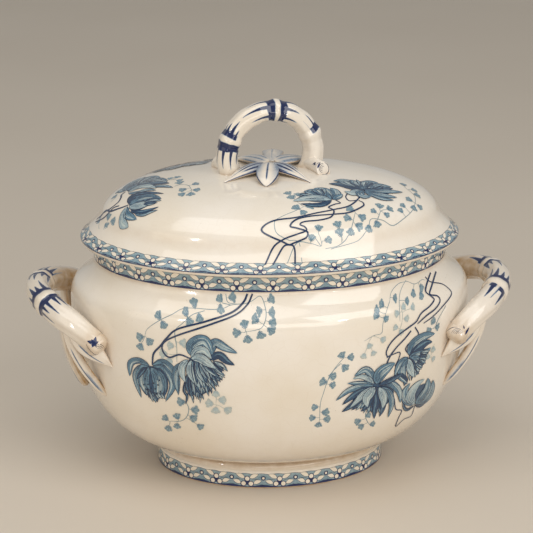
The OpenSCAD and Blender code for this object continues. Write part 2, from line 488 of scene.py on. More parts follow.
# Each tone of the print is mottled between two blues, or between two creams for what it leaves bare
TONES = {
    "wash": (srgb(160, 180, 186), srgb(122, 150, 163)),
    "pale": (srgb(180, 197, 200), srgb(142, 168, 179)),
    "mid": (srgb(112, 147, 166), srgb(66, 105, 132)),
    "reserve": (srgb(244, 236, 222), srgb(237, 226, 206)),
    "stem": (srgb(34, 60, 96), srgb(22, 46, 82)),
    "light": (srgb(206, 216, 212), srgb(178, 195, 196)),
    "deep": (srgb(42, 82, 114), srgb(18, 52, 88)),
    "vine": (srgb(138, 159, 167), srgb(110, 137, 149)),
    "faint": (srgb(190, 197, 192), srgb(172, 183, 180)),
    "line": (srgb(12, 38, 72), srgb(4, 26, 60)),
    "navy": (srgb(20, 40, 94), srgb(14, 32, 74)),
}
INK_MATERIAL = {tone: ink_material("ink_" + tone, *pair) for tone, pair in TONES.items()}


# ---- the print ----

class Ink:
    """All shapes of one tone on one body, as a thin skin over the glaze."""

    def __init__(self):
        self.points, self.faces, self.count = [], [], 0

    def add(self, points, faces):
        self.faces += [tuple(v + self.count for v in face) for face in faces]
        self.points.append(points)
        self.count += len(points)


INKS = {}


class Pen:
    """Draws flat shapes and lays them on a skin. place gives points and normals for flat points.
    Each shape lies a hair above the one before, as later strokes do."""

    LOWEST, STEP = 0.035, 0.0006
    # Whether the drawing's plane stands up, and how far apart its points lie beside the usual
    upright, grain = False, 1.0

    def __init__(self, body, place, seed=1):
        self.body, self.place, self.layer, self.random = body, place, 0, np.random.default_rng(seed)

    def lay(self, plane, tone, faces=None, offsets=None):
        """Lays points with faces, or a line whose sides run at offsets from it."""
        points, normals = self.place(np.asarray(plane, float))
        self.layer += 1
        height = self.LOWEST + self.STEP * self.layer
        if offsets is not None:
            along = unit(np.gradient(points, axis=0))
            across = unit(np.cross(normals, along))
            sides = [points + across * o[:, None] for o in offsets]
            points = np.concatenate(sides)
            normals = np.concatenate([normals] * len(sides))
            faces = grid_faces(len(sides), len(along))
        INKS.setdefault((self.body, tone), Ink()).add(points + normals * height, faces)

    def stroke(self, plane, width, tone, start=0.25, end=0.15, ends=0.2, spacing=1.0, wobble=0.12):
        """A drawn line. start and end are the shares of its width at its ends."""
        path = smooth_path(plane, spacing * self.grain)
        t = lengths(path)
        t = t / max(t[-1], 1e-9)
        share = np.minimum(start + (1 - start) * np.clip(t / ends, 0, 1) ** 0.7,
                           end + (1 - end) * np.clip((1 - t) / ends, 0, 1) ** 0.7)
        wave = 1 + wobble * np.sin(t * (6 + 9 * self.random.random()) + 6 * self.random.random())
        half = width / 2 * share * wave
        self.lay(path, tone, offsets=[-half, half])

    def dot(self, centre, radius, tone, sides=14):
        a = np.linspace(0, 2 * math.pi, sides, endpoint=False)
        rim = radius * np.stack([np.cos(a), np.sin(a)], 1)
        points = np.concatenate([centre + rim, centre + rim * 0.7, centre + rim * 0.35, [centre]])
        inner = [(3 * sides, 2 * sides + k, 2 * sides + (k + 1) % sides) for k in range(sides)]
        self.lay(points, tone, grid_faces(3, sides, wrap_columns=True) + inner)

    @staticmethod
    def leaf_spine(start, end, width, bend, steps):
        """Points from start to end, and what leads from each to the leaf's edge."""
        start, end = np.array(start, float), np.array(end, float)
        along = end - start
        across = np.array([-along[1], along[0]]) / np.linalg.norm(along)
        t = np.linspace(0, 1, steps + 1)[:, None]
        spine = start + along * t + across * bend * np.sin(math.pi * t)
        return spine, across * (width / 2 * np.sin(math.pi * t ** 0.85))

    def lens(self, start, end, width, tone, bend=0.0):
        """A leaf-shaped spot from start to end."""
        spine, half = self.leaf_spine(start, end, width, bend, 8)
        self.lay(np.concatenate([spine + half * share for share in (-1, -0.5, 0, 0.5, 1)]), tone,
                 grid_faces(5, len(spine)))

    def lens_edge(self, start, end, width, thick, tone, bend=0.0):
        spine, half = self.leaf_spine(start, end, width, bend, 6)
        for side in (-1, 1):
            self.stroke(spine + half * side, thick, tone, 0.6, 0.6, wobble=0.05)

    def fill(self, outline, tone, spacing=1.6, smooth=True):
        """A closed shape of any outline."""
        spacing = spacing * self.grain
        rim = smooth_path(outline, 0.8 * spacing, closed=True) if smooth else np.array(outline, float)
        low, high = rim.min(0), rim.max(0)
        xs = np.arange(low[0] + spacing / 2, high[0], spacing)
        ys = np.arange(low[1] + spacing / 2, high[1], spacing)
        inner = [(x, y) for i, y in enumerate(ys) for x in xs + (i % 2) * spacing / 2]
        edges = [(i, (i + 1) % len(rim)) for i in range(len(rim))]
        vertices = [Vector(p) for p in rim.tolist() + inner]
        points, _, faces, _, _, _ = delaunay_2d_cdt(vertices, edges, [], 1, 1e-5)
        if faces:
            self.lay([tuple(p) for p in points], tone, [tuple(f) for f in faces])


# ---- printed borders ----

# Height in the units that a cluster is drawn in
BORDER_DRAWN_HEIGHT = 11.5


def border(body, skin, base, height, tiles, front_x, seed):
    """A printed band: clusters of three ringed berries joined by pairs of white leaves, with one
    small ringed berry between, over a hatched wash and a navy base line. A cluster falls at
    front_x on the front."""
    middle = base + height / 2
    pen = Pen(body, lambda plane: skin.band(plane, base, middle), seed)
    around = skin.girth(middle, FULL_TURN)[1][-1]
    tile = around / tiles
    k = height / BORDER_DRAWN_HEIGHT
    # Distance round the oval to the front point at front_x
    ring, turn = skin.girth(middle, np.linspace(math.pi, 1.5 * math.pi + 1, 800))
    first = around / 2 + np.interp(front_x, ring[:, 0], turn)

    steps = tiles * 16
    u = first + np.linspace(0, around, steps + 1)[:-1]
    phase = (u - first) / tile * 2 * math.pi
    top = height * (0.965 + 0.025 * np.cos(2 * phase + 0.8))
    thick = (1.35 - 0.75 * np.cos(phase) + 0.12 * np.sin(3.3 * phase)) * k

    def strip(heights, tone):
        pen.lay(np.concatenate([np.stack([u, v], 1) for v in heights]), tone,
                grid_faces(len(heights), steps, wrap_columns=True))

    strip([v * top for v in np.linspace(0.02, 1, 19)], "wash")
    strip([v * thick for v in np.linspace(0, 1, 5)], "navy")
    strip([top - 0.16, top + 0.12], "line")

    shared = pen.layer
    for n in range(tiles):
        pen.layer = shared
        u0 = first + n * tile + pen.random.uniform(-0.2, 0.2)

        def spot(x, y):
            """A point x from the cluster's middle and y up the border as it was drawn."""
            return np.array([u0 + x, y * k])

        def hatch(width, tone, ends, *places):
            pen.stroke([spot(x, y) for x, y in places], width, tone, *ends, spacing=1.6)

        def leaf(a, b, width, bend):
            pen.lens(a, b, width * k, "reserve", bend)
            pen.lens_edge(a, b, (width + 0.1) * k, 0.27, "line", bend)

        # Hatching beside the small berry and under the leaves
        for side in (-1, 1):
            mid = side * tile / 2
            for q in range(4):
                lean = 1.0 + 1.1 * q
                hatch(0.26, "mid", (0.6, 0.3), (mid - side * lean * 1.05, 9.9 - q * 0.6),
                      (mid - side * (lean + 1.3), 7.4 - q * 0.5), (mid - side * (lean + 2.7), 5.2 - q * 0.25))
            hatch(0.34, "mid", (), (mid, 4.6), (mid - side * 2.6, 3.3), (mid - side * 6.2, 1.9))
            hatch(0.5, "mid", (), (mid, 2.9), (mid - side * 2.6, 2.1), (mid - side * 5.4, 1.5))
        # Four leaves: two rise from the top berry and two come from the lower pair
        upper, lower = tile * 0.36, tile * 0.45
        for side in (-1, 1):
            leaf(spot(side * 1.7, 7.4), spot(side * upper, 10.7), 3.4, 0.3 * side)
            leaf(spot(side * 4.6, 3.1), spot(side * lower, 5.5), 3.3, 0.25 * side)
            hatch(0.32, "line", (), (side * 2.6, 5.7), (side * 6.4, 6.6), (side * 9.4, 7.0))
        # Navy ground between the berries, the berries and the small one between clusters
        pen.dot(spot(0, 4.2), 2.4 * k, "navy")
        for x, y in ((-2.75, 2.85), (2.75, 2.8), (0, 6.9)):
            pen.dot(spot(x, y), 2.4 * k, "navy", 18)
            pen.dot(spot(x + 0.06, y + 0.05), 1.75 * k, "reserve", 16)
        pen.dot(spot(tile / 2, 7.5), 1.9 * k, "navy", 18)
        pen.dot(spot(tile / 2 + 0.05, 7.5), 1.0 * k, "reserve", 12)


# ---- printed flowers ----
# A bouquet has stems with their widths, vines with their leaves, dark grounds behind the flowers,
# the flowers' petals and fringes, and perhaps dots for seeds. A petal is its line from root to tip,
# its width and its tone. A fringe is a line of roots, a line of tips, a count and perhaps a width.
# Points on the bowl are (x, z) of the front elevation, and points on the lid (x, y) seen from above.

def petal(pen, spine, width, tone):
    """One petal: a filled blade with a lighter streak, engraved lines and dark edges."""
    path = smooth_path(spine, 1.0)
    t = lengths(path)
    t = t / t[-1]
    along = unit(np.gradient(path, axis=0))
    across = np.stack([-along[:, 1], along[:, 0]], 1)
    half = width / 2 * np.sin(math.pi * t ** 0.8) ** 0.75

    def strip(low, high, colour, first=0.0, last=1.0, columns=5):
        """A part of the blade between two shares of its half width and two of its length."""
        keep = (t >= first) & (t <= last)
        inside = np.clip((t[keep] - first) / max(last - first, 1e-6), 0, 1)
        swell = np.sin(math.pi * inside) ** 0.6 if first > 0 else 1.0
        middle, reach = (low + high) / 2, (high - low) / 2
        rows = [path[keep] + across[keep] * (half[keep] * (middle + reach * share * swell))[:, None]
                for share in np.linspace(-1, 1, columns)]
        pen.lay(np.concatenate(rows), colour, grid_faces(columns, int(keep.sum())))

    fills = {"mid": ("mid", "pale"), "pale": ("pale", "light"), "deep": ("deep", "mid")}
    ground, light = fills[tone]
    strip(-1, 1, ground)
    if len(path) > 8:
        side = pen.random.choice([-1, 1])
        strip(0.05 * side, 0.62 * side, light, 0.22, 0.9, 3)
    for i in range(max(1, int(width / 2.6)) if tone != "deep" else 0):
        u = pen.random.uniform(-0.7, 0.7)
        keep = (t >= 0.35) & (t <= pen.random.uniform(0.75, 0.95))
        if keep.sum() > 3:
            pen.stroke((path + across * (half * u)[:, None])[keep][::2], 0.55, "light", 0.3, 0.2, 0.4)
    count = max(3, int(round(width)))
    for i in range(count):
        u = -0.8 + 1.6 * (i + pen.random.uniform(0.2, 0.8)) / count
        first, last = pen.random.uniform(0.0, 0.25), pen.random.uniform(0.55, 0.95)
        keep = (t >= first) & (t <= last)
        if keep.sum() > 3:
            pen.stroke((path + across * (half * u)[:, None])[keep][::2], pen.random.uniform(0.22, 0.42),
                       "line" if tone != "pale" else "deep", 0.9, 0.1, 0.8)
    for side in (-1, 1):
        pen.stroke((path + across * (half * side)[:, None])[::2], 0.42, "line", 0.8, 0.4)


def fringe(pen, roots, tips, count, width=2.0):
    """Many narrow petals side by side, from one line to another."""
    roots, tips = smooth_path(roots, 0.8), smooth_path(tips, 0.8)
    share = np.linspace(0, 1, 12)
    near, far = roots[(share * (len(roots) - 1)).astype(int)], tips[(share * (len(tips) - 1)).astype(int)]
    pen.fill(np.concatenate([near, (near + (far - near) * 0.7)[::-1]]), "deep", smooth=False)
    for i in range(count):
        share = (i + 0.5) / count
        root = roots[int(share * (len(roots) - 1))] + pen.random.uniform(-1, 1, 2)
        tip = tips[int(share * (len(tips) - 1))]
        tip = tip + (tip - root) * pen.random.uniform(-0.22, 0.04)
        bend = np.array([-(tip - root)[1], (tip - root)[0]]) * pen.random.uniform(-0.12, 0.12)
        tone = ("mid", "deep", "mid", "pale")[i % 4]
        petal(pen, [root, root + (tip - root) * 0.5 + bend, tip], width * pen.random.uniform(0.8, 1.3), tone)


# Outline of a small leaf from its stalk to its tip, then back along the other side
FAN = ((-0.50, 0.0), (-0.20, 0.17), (0.0, 0.37), (0.06, 0.52), (0.26, 0.58), (0.41, 0.44), (0.39, 0.28),
       (0.50, 0.20), (0.56, 0.0))
FAN += tuple((along, -across) for along, across in FAN[-2:0:-1])


def leaf_fan(pen, centre, direction, size, tone, stalk=None):
    """A small three-lobed leaf, foreshortened as the skin under it is."""
    normal = pen.place(np.array([centre, centre], float))[1][0]
    # The way the skin turns away from the drawing's plane, and by how much
    away = np.array([1.0, 0.0]) if pen.upright else normal[:2] / max(np.hypot(*normal[:2]), 1e-6)
    squeeze = max(0.72, abs(normal[1])) if pen.upright else max(0.16, abs(normal[2]))
    d = np.array(direction, float) / max(np.hypot(*direction), 1e-6)
    side = np.array([-d[1], d[0]])
    jitter = 1 + pen.random.uniform(-0.08, 0.08, len(FAN))
    rim = [(d * a + side * b) * size * j for (a, b), j in zip(FAN, jitter)]
    rim = [np.array(centre) + r - away * np.dot(r, away) * (1 - squeeze) for r in rim]
    if stalk is not None:
        pen.stroke([stalk, (np.array(stalk) + rim[0]) / 2 + side * 0.3, rim[0]], 0.34, tone, 0.9, 0.7)
    pen.fill(rim, tone)
    dark, light = {"vine": ("mid", "pale"), "faint": ("pale", "light")}[tone]
    # Veins run to the corners of the lobes, and lighter ones run between them
    for k in (3, 5, 6, 8, 10, 11, 13):
        reach = pen.random.uniform(0.6, 0.9)
        pen.stroke([rim[0] + (rim[k] - rim[0]) * share * reach for share in (0.3, 0.6, 1.0)],
                   0.42, dark, 0.5, 0.3)
    for k in (4, 7, 9, 12):
        pen.stroke([rim[0] + (rim[k] - rim[0]) * share for share in (0.45, 0.7, 0.9)],
                   0.30, light, 0.5, 0.3)


def vine(pen, stems, leaves, size=7.0, tone="vine", width=0.5):
    """Thin stems with small leaves. Each leaf points away from the nearest stem."""
    lines = [smooth_path(stem, 1.0) for stem in stems]
    for stem in stems:
        pen.stroke(stem, width, tone, 0.9, 0.5)
    every = np.concatenate(lines)
    for leaf in leaves:
        leaf = np.array(leaf, float)
        gap = np.linalg.norm(every - leaf, axis=1)
        near = every[int(np.argmin(gap))]
        away = leaf - near if gap.min() > 0.8 else np.array([0.0, -1.0])
        stalk = near if gap.min() < 14 else None
        leaf_fan(pen, leaf, away, size * pen.random.uniform(0.82, 1.0), tone, stalk)


def draw(pen, bouquet):
    for one in bouquet["vines"]:
        vine(pen, *one)
    for points, width in bouquet["stems"]:
        pen.stroke(points, width, "stem", 0.95, 0.7, 0.1, wobble=0.06)
    for outline in bouquet["ground"]:
        pen.fill(outline, "deep")
    for step in bouquet["flowers"]:
        (petal if isinstance(step[-1], str) else fringe)(pen, *step)
    for place in bouquet.get("dots", ()):
        pen.dot(place, 0.6, "line", 8)


BOWL_LEFT = {
    "stems": [
        (((-25, 163.5), (-28, 158), (-36, 152), (-54, 146), (-74, 139), (-82, 131), (-86, 125), (-91, 118),
          (-92, 109)), 1.45),
        (((-21.5, 163.5), (-25, 157), (-33, 151), (-49, 145), (-64, 139), (-74, 134.5), (-82, 129.5),
          (-85, 125), (-84, 120), (-80, 117), (-73, 120), (-66, 118)), 1.3),
    ],
    "vines": [
        ([((-40, 163), (-39, 158), (-35, 157), (-28, 157), (-22, 159), (-16, 162), (-13, 155), (-13, 149),
           (-16, 143), (-21, 141), (-27, 140))],
         [(-36, 161), (-9, 160), (-17, 153), (-9, 152), (-20, 148), (-9, 146), (-10, 141), (-17, 138),
          (-26, 135), (-33, 139), (-28, 144.5)]),
        ([((-30, 157), (-37, 156), (-42, 154), (-49, 153), (-68, 152.5), (-78, 148), (-87, 143), (-95, 136),
           (-97, 130)), ((-42, 157), (-36, 156))],
         [(-44, 159.5), (-44, 154), (-62, 155.5), (-87, 146), (-84, 141), (-100, 129), (-94, 127),
          (-100, 122)]),
        ([((-55, 152), (-64, 149), (-71, 143), (-76, 137), (-75, 125), (-75, 114))],
         [(-68, 150), (-66, 145), (-59, 148)]),
        ([((-75, 130), (-75, 120))], [(-79, 126), (-71, 129), (-84, 119), (-80, 114)], 7.0, "faint", 0.4),
        ([((-69, 83), (-67, 78), (-68, 71), (-72, 66), (-80, 64))],
         [(-72, 82.5), (-83, 66), (-75, 69), (-75, 61), (-81, 57.5), (-63, 77), (-64, 70), (-59, 63)]),
        ([((-52, 97), (-48, 90), (-48, 83))], [(-48, 92), (-44, 87), (-52, 83.5), (-48, 78.5), (-40, 79)],
         6.6, "faint", 0.3),
    ],
    "ground": [
        ((-66, 118), (-58, 120), (-50, 116), (-44, 110), (-46, 103), (-53, 94), (-60, 89), (-66, 92),
         (-68, 102)),
        ((-100, 103), (-93, 108), (-84, 104), (-83, 94), (-86, 87), (-92, 84), (-97, 89)),
    ],
    "dots": [(-97, 97), (-98, 92), (-95, 93), (-96, 88.5), (-93, 90), (-91, 95), (-90, 90.5), (-88, 94),
             (-89.5, 86.5), (-86.5, 89), (-87, 98)],
    "flowers": [
        (((-94, 108), (-101, 110.5), (-107, 107), (-108, 96)), 4.6, "mid"),
        (((-94, 107), (-100, 106), (-104, 97), (-100, 80)), 3.9, "mid"),
        (((-92, 109), (-84, 112.5), (-76, 103), (-74, 88)), 5.4, "mid"),
        (((-92, 108), (-84, 108), (-78, 96), (-83, 81)), 4.8, "mid"),
        (((-94, 107), (-99, 95), (-98, 88), (-96, 83)), 5.0, "deep"),
        (((-94, 107), (-86, 103), (-83.5, 93), (-84, 85)), 5.6, "deep"),
        (((-94.5, 107), (-98, 98), (-97, 90), (-92, 81)), 7.6, "mid"),
        (((-93, 107), (-89, 101), (-87.5, 92), (-90, 79.5)), 8.4, "mid"),
        (((-96, 90), (-93, 87), (-86, 88)), ((-97, 83), (-91, 78.5), (-82, 84)), 9, 1.8),
        (((-95, 107), (-98, 104), (-101, 99), (-103, 95)), 2.6, "deep"),
        (((-52, 121), (-49, 131), (-41, 127.5), (-33, 124)), 6.4, "mid"),
        (((-52, 118), (-46, 122), (-40, 117.5), (-35, 115)), 5.7, "deep"),
        (((-65, 120), (-64, 128), (-56, 132), (-50, 122)), 9.0, "mid"),
        (((-65, 119), (-61, 124), (-56, 125), (-51, 119)), 6.0, "pale"),
        (((-69, 115), (-75, 109), (-76, 99), (-74, 89)), 4.6, "mid"),
        (((-68, 112), (-61, 105), (-54, 108), (-47, 112)), ((-69, 84), (-61, 84), (-51, 92), (-42, 104)), 16),
        (((-67, 110), (-61, 110), (-56, 112), (-50, 115), (-50, 118)),
         ((-65, 83), (-59, 84), (-53, 90), (-45, 99), (-41, 107), (-39, 113)), 24),
        (((-62, 108), (-57, 107), (-53, 111)), ((-60, 92), (-54, 96), (-47, 104)), 7, 2.6),
        (((-69, 101), (-70, 92), (-68, 88), (-69, 81)), 1.8, "deep"),
        (((-67, 117), (-71, 112), (-71.5, 106), (-69, 99)), 5.0, "pale"),
        (((-65, 117), (-65, 108), (-62.5, 102), (-59, 96)), 6.6, "pale"),
        (((-64, 116), (-60, 116), (-56, 115)), ((-62, 95), (-55, 97), (-45, 106)), 11, 2.4),
        (((-65, 118), (-59, 119), (-54, 116), (-48, 112)), 7.0, "pale"),
    ],
}

BOWL_RIGHT = {
    "stems": [
        (((112, 161), (108, 156), (106, 152), (110, 148.5), (112, 146), (108, 143), (101, 140), (97, 135),
          (91, 132), (83, 128), (77, 123), (74, 117), (75, 112)), 1.25),
        (((117, 160), (112, 154), (109, 150), (115, 147.5), (117, 144), (113, 140), (105, 137),
          (98, 133)), 1.25),
        (((107, 160), (111, 156), (121, 152), (127, 147), (127, 144), (120, 140), (111, 135),
          (103, 132)), 0.95),
        (((93, 129), (88, 124), (82, 119), (77, 113), (74, 106)), 1.25),
        (((96, 131), (99, 125), (96, 122), (91, 119), (89, 115.5), (92, 111)), 1.05),
        (((75, 113), (84, 114.5), (84, 110), (81, 104)), 0.9),
        (((82, 77), (84, 67), (89, 64), (87, 57), (86, 49), (92, 54), (98, 55), (100, 65)), 0.85),
    ],
    "vines": [
        ([((42, 117), (36, 110), (31, 101), (28, 91), (26, 82), (26, 68)), ((40, 113), (33, 106), (30, 98))],
         [(41, 119), (47, 117), (43, 110), (28, 100), (34, 104), (34, 97), (22.5, 80), (29.5, 75), (21, 71),
          (31, 69), (25.5, 65)], 6.4),
        ([((60, 70), (61, 64), (64, 58))], [(55, 63), (58, 58), (66, 58), (62, 67)], 6.2),
        ([((92, 161), (85, 161), (79, 157), (77, 152)), ((91, 162), (86, 156), (84, 149), (84, 138)),
          ((92, 161), (98, 158), (104, 159), (107, 158))],
         [(96, 153.5), (103, 155), (102, 151), (81, 153), (90, 150)], 5.4, "vine", 0.38),
        ([((77, 152), (74, 147), (71, 139), (70, 132), (64, 131), (57, 128))],
         [(71, 151), (67, 148), (66.5, 145), (73, 142)], 5.8, "vine", 0.36),
        ([((85, 149), (86, 140), (83, 128))],
         [(82, 144), (87, 147), (94, 145.5), (89, 139), (81, 134), (85, 130)], 5.4, "faint", 0.36),
        ([((63, 131), (60, 126))], [(64, 118), (61, 124), (71, 127), (57, 117)], 5.4, "faint", 0.3),
        ([((122, 139), (116, 132), (113, 126))], [(111.5, 131), (114.5, 125.5), (108, 125)], 5.6),
        ([((113, 113), (110, 103))], [(112, 109), (112.5, 101), (108, 104)], 5.0, "faint", 0.3),
    ],
    "ground": [
        ((65, 94), (57, 94), (51, 89), (50, 82), (57, 77), (66, 72), (75, 73), (81, 80), (79, 89), (72, 93)),
        ((92, 109), (99, 112), (105, 111), (103, 104), (99, 98), (95, 96), (91, 100)),
        ((99, 67), (105, 67), (110, 74), (109, 81), (102, 82), (96, 79), (94, 73)),
    ],
    "flowers": [
        (((92, 110), (95, 117.5), (104, 121.5), (113, 121)), 8.3, "mid"),
        (((92, 109), (100, 114), (106, 116), (111, 115)), 7.2, "deep"),
        (((92, 109), (101, 108), (106, 109), (110, 111)), 7.0, "mid"),
        (((92, 108), (99, 104), (103, 101), (106, 104)), 6.4, "mid"),
        (((92, 108), (96, 100), (100, 97), (104, 99)), 5.0, "deep"),
        (((91, 108), (94, 100), (97, 94), (101, 93)), 5.6, "mid"),
        (((94, 106), (97, 101), (100, 105), (101, 111)), ((93, 87), (99, 91), (105, 97), (110, 110)),
         16, 1.9),
        (((91, 108), (93, 100), (95, 95), (97, 91)), 6.0, "pale"),
        (((91, 108), (87, 103), (87, 96), (91, 90)), 6.9, "mid"),
        (((91, 109), (86, 107), (83, 102), (81, 96)), 4.4, "mid"),
        (((85, 97), (88, 93), (90, 90), (89, 86)), 4.6, "deep"),
        (((81, 97), (84, 95), (87, 92), (92, 87)), 2.7, "mid"),
        (((98, 66), (92, 73), (90, 81), (94, 87)), 6.7, "mid"),
        (((100, 66), (109, 66), (113, 73), (114, 82)), 7.6, "mid"),
        (((100, 66), (105, 71), (109, 77), (109, 86)), 7.6, "mid"),
        (((99, 66), (95, 75), (99, 83), (106, 86.5)), 7.6, "pale"),
        (((99, 65), (94, 63), (91, 66), (89, 72)), 2.3, "deep"),
        (((100, 65), (105, 62), (108, 63), (109, 65)), 2.8, "deep"),
        (((65, 94), (63, 101), (58, 106), (50, 102)), 5.5, "mid"),
        (((65, 93), (61, 98), (55, 101), (49, 100)), 4.1, "pale"),
        (((65, 93), (59, 94.5), (53, 96), (45, 97)), 3.8, "mid"),
        (((66, 88), (62, 80), (68, 78), (74, 80)), ((45, 74), (55, 72), (67, 66), (76, 68)), 15, 2.4),
        (((65, 92), (56, 93), (46, 91), (37, 84)), 4.7, "mid"),
        (((65, 91), (55, 89), (48, 85), (42, 80)), 5.2, "deep"),
        (((66, 91), (58, 85), (50, 79), (42, 74)), 6.2, "deep"),
        (((66, 91), (62, 79), (60, 75), (56, 72)), 5.3, "deep"),
        (((67, 91), (68, 78), (67, 71), (67, 63)), 5.2, "deep"),
        (((70, 90), (73, 77), (73, 70), (71, 64)), 5.1, "deep"),
        (((69, 92), (78, 91), (85, 83), (87, 72)), 5.4, "mid"),
        (((70, 90), (77, 84), (80, 73), (78, 61)), 4.5, "mid"),
        (((66, 91), (58, 87), (53, 82), (48, 77)), 5.2, "pale"),
        (((69, 90), (72, 84), (73.5, 78), (73, 71)), 6.4, "pale"),
        (((66, 91), (63, 87), (60, 82), (61, 75)), 7.2, "pale"),
        (((69, 92), (77, 93.5), (84, 96), (88, 97)), 4.4, "deep"),
        (((67, 93), (70, 101), (76, 105), (81, 107)), 9.6, "mid"),
    ],
}

LID_LEFT = {
    "stems": [
        (((-128.5, -4), (-124.5, -10), (-119, -17.5), (-113, -18), (-110.5, -13), (-110, -8),
          (-107, -5)), 1.5),
        (((-126.5, -8), (-121.5, -14), (-118, -22), (-111, -28), (-105.5, -30.5)), 1.6),
        (((-129.5, -6), (-126, -13), (-121, -20), (-116, -21), (-112, -24)), 1.4),
    ],
    "vines": [
        ([((-127, -22), (-123, -27), (-119, -30))], [(-120, -24), (-117, -32), (-122, -27), (-127, -12)],
         6.6),
        ([((-118, -8), (-114, -6))], [(-115, -3)], 6.0),
        ([((-76, -8), (-72, -9))], [(-74, -5), (-69, -5), (-68, -13)], 6.0),
        ([((-72, -24), (-67, -23), (-62, -27), (-60, -36))],
         [(-68, -19), (-57, -26), (-66, -33), (-67, -40), (-61, -42), (-57, -37)], 6.2),
    ],
    "ground": [
        ((-105, -2), (-96, 4), (-86, 0), (-82, -12), (-92, -12), (-104, -8)),
        ((-104, -28), (-97, -25), (-88, -34), (-90, -42), (-98, -43), (-104, -38)),
    ],
    "flowers": [
        (((-106, -3), (-111, 5), (-114, 3)), 7.0, "mid"),
        (((-106, -4), (-103, 8), (-98, 15), (-91, 17)), 11.0, "mid"),
        (((-105, -5), (-98, 6), (-89, 10), (-81, 2)), 12.0, "mid"),
        (((-105, -6), (-96, 0), (-85, -1), (-76, -9)), 12.0, "mid"),
        (((-98, -2), (-92, 2), (-88, -3)), ((-92, 19), (-83, 8), (-74, -15)), 16, 3.0),
        (((-105, -8), (-95, -7), (-85, -9), (-75, -16)), 8.0, "deep"),
        (((-90, -15), (-85, -16.5), (-80, -19), (-73, -26)), 4.6, "mid"),
        (((-105, -10), (-98, -7), (-91, -11), (-85, -20)), 6.6, "pale"),
        (((-105, -12), (-99, -17), (-92, -18), (-85, -24)), 4.3, "mid"),
        (((-106, -27), (-103, -20), (-96, -21), (-80, -33)), 3.9, "deep"),
        (((-105, -30), (-101, -23), (-93, -27), (-85, -35)), 7.0, "deep"),
        (((-105, -31), (-97, -29.5), (-90, -33), (-82, -40)), 9.0, "mid"),
        (((-105, -33), (-97, -38), (-91, -40), (-85, -41)), 8.0, "pale"),
        (((-96, -33), (-93, -37), (-95, -40)), ((-82, -37), (-82, -42), (-86, -45)), 6, 2.4),
        (((-104, -39), (-97, -46), (-90, -48.5), (-84, -49)), 3.2, "deep"),
        (((-101, -45), (-95, -50), (-90, -51), (-85, -52)), 2.4, "mid"),
        (((-106, -33), (-107, -39), (-103, -46), (-100, -50)), 4.4, "mid"),
        (((-106, -32), (-109.5, -36), (-110, -42), (-106, -49)), 4.6, "pale"),
    ],
}

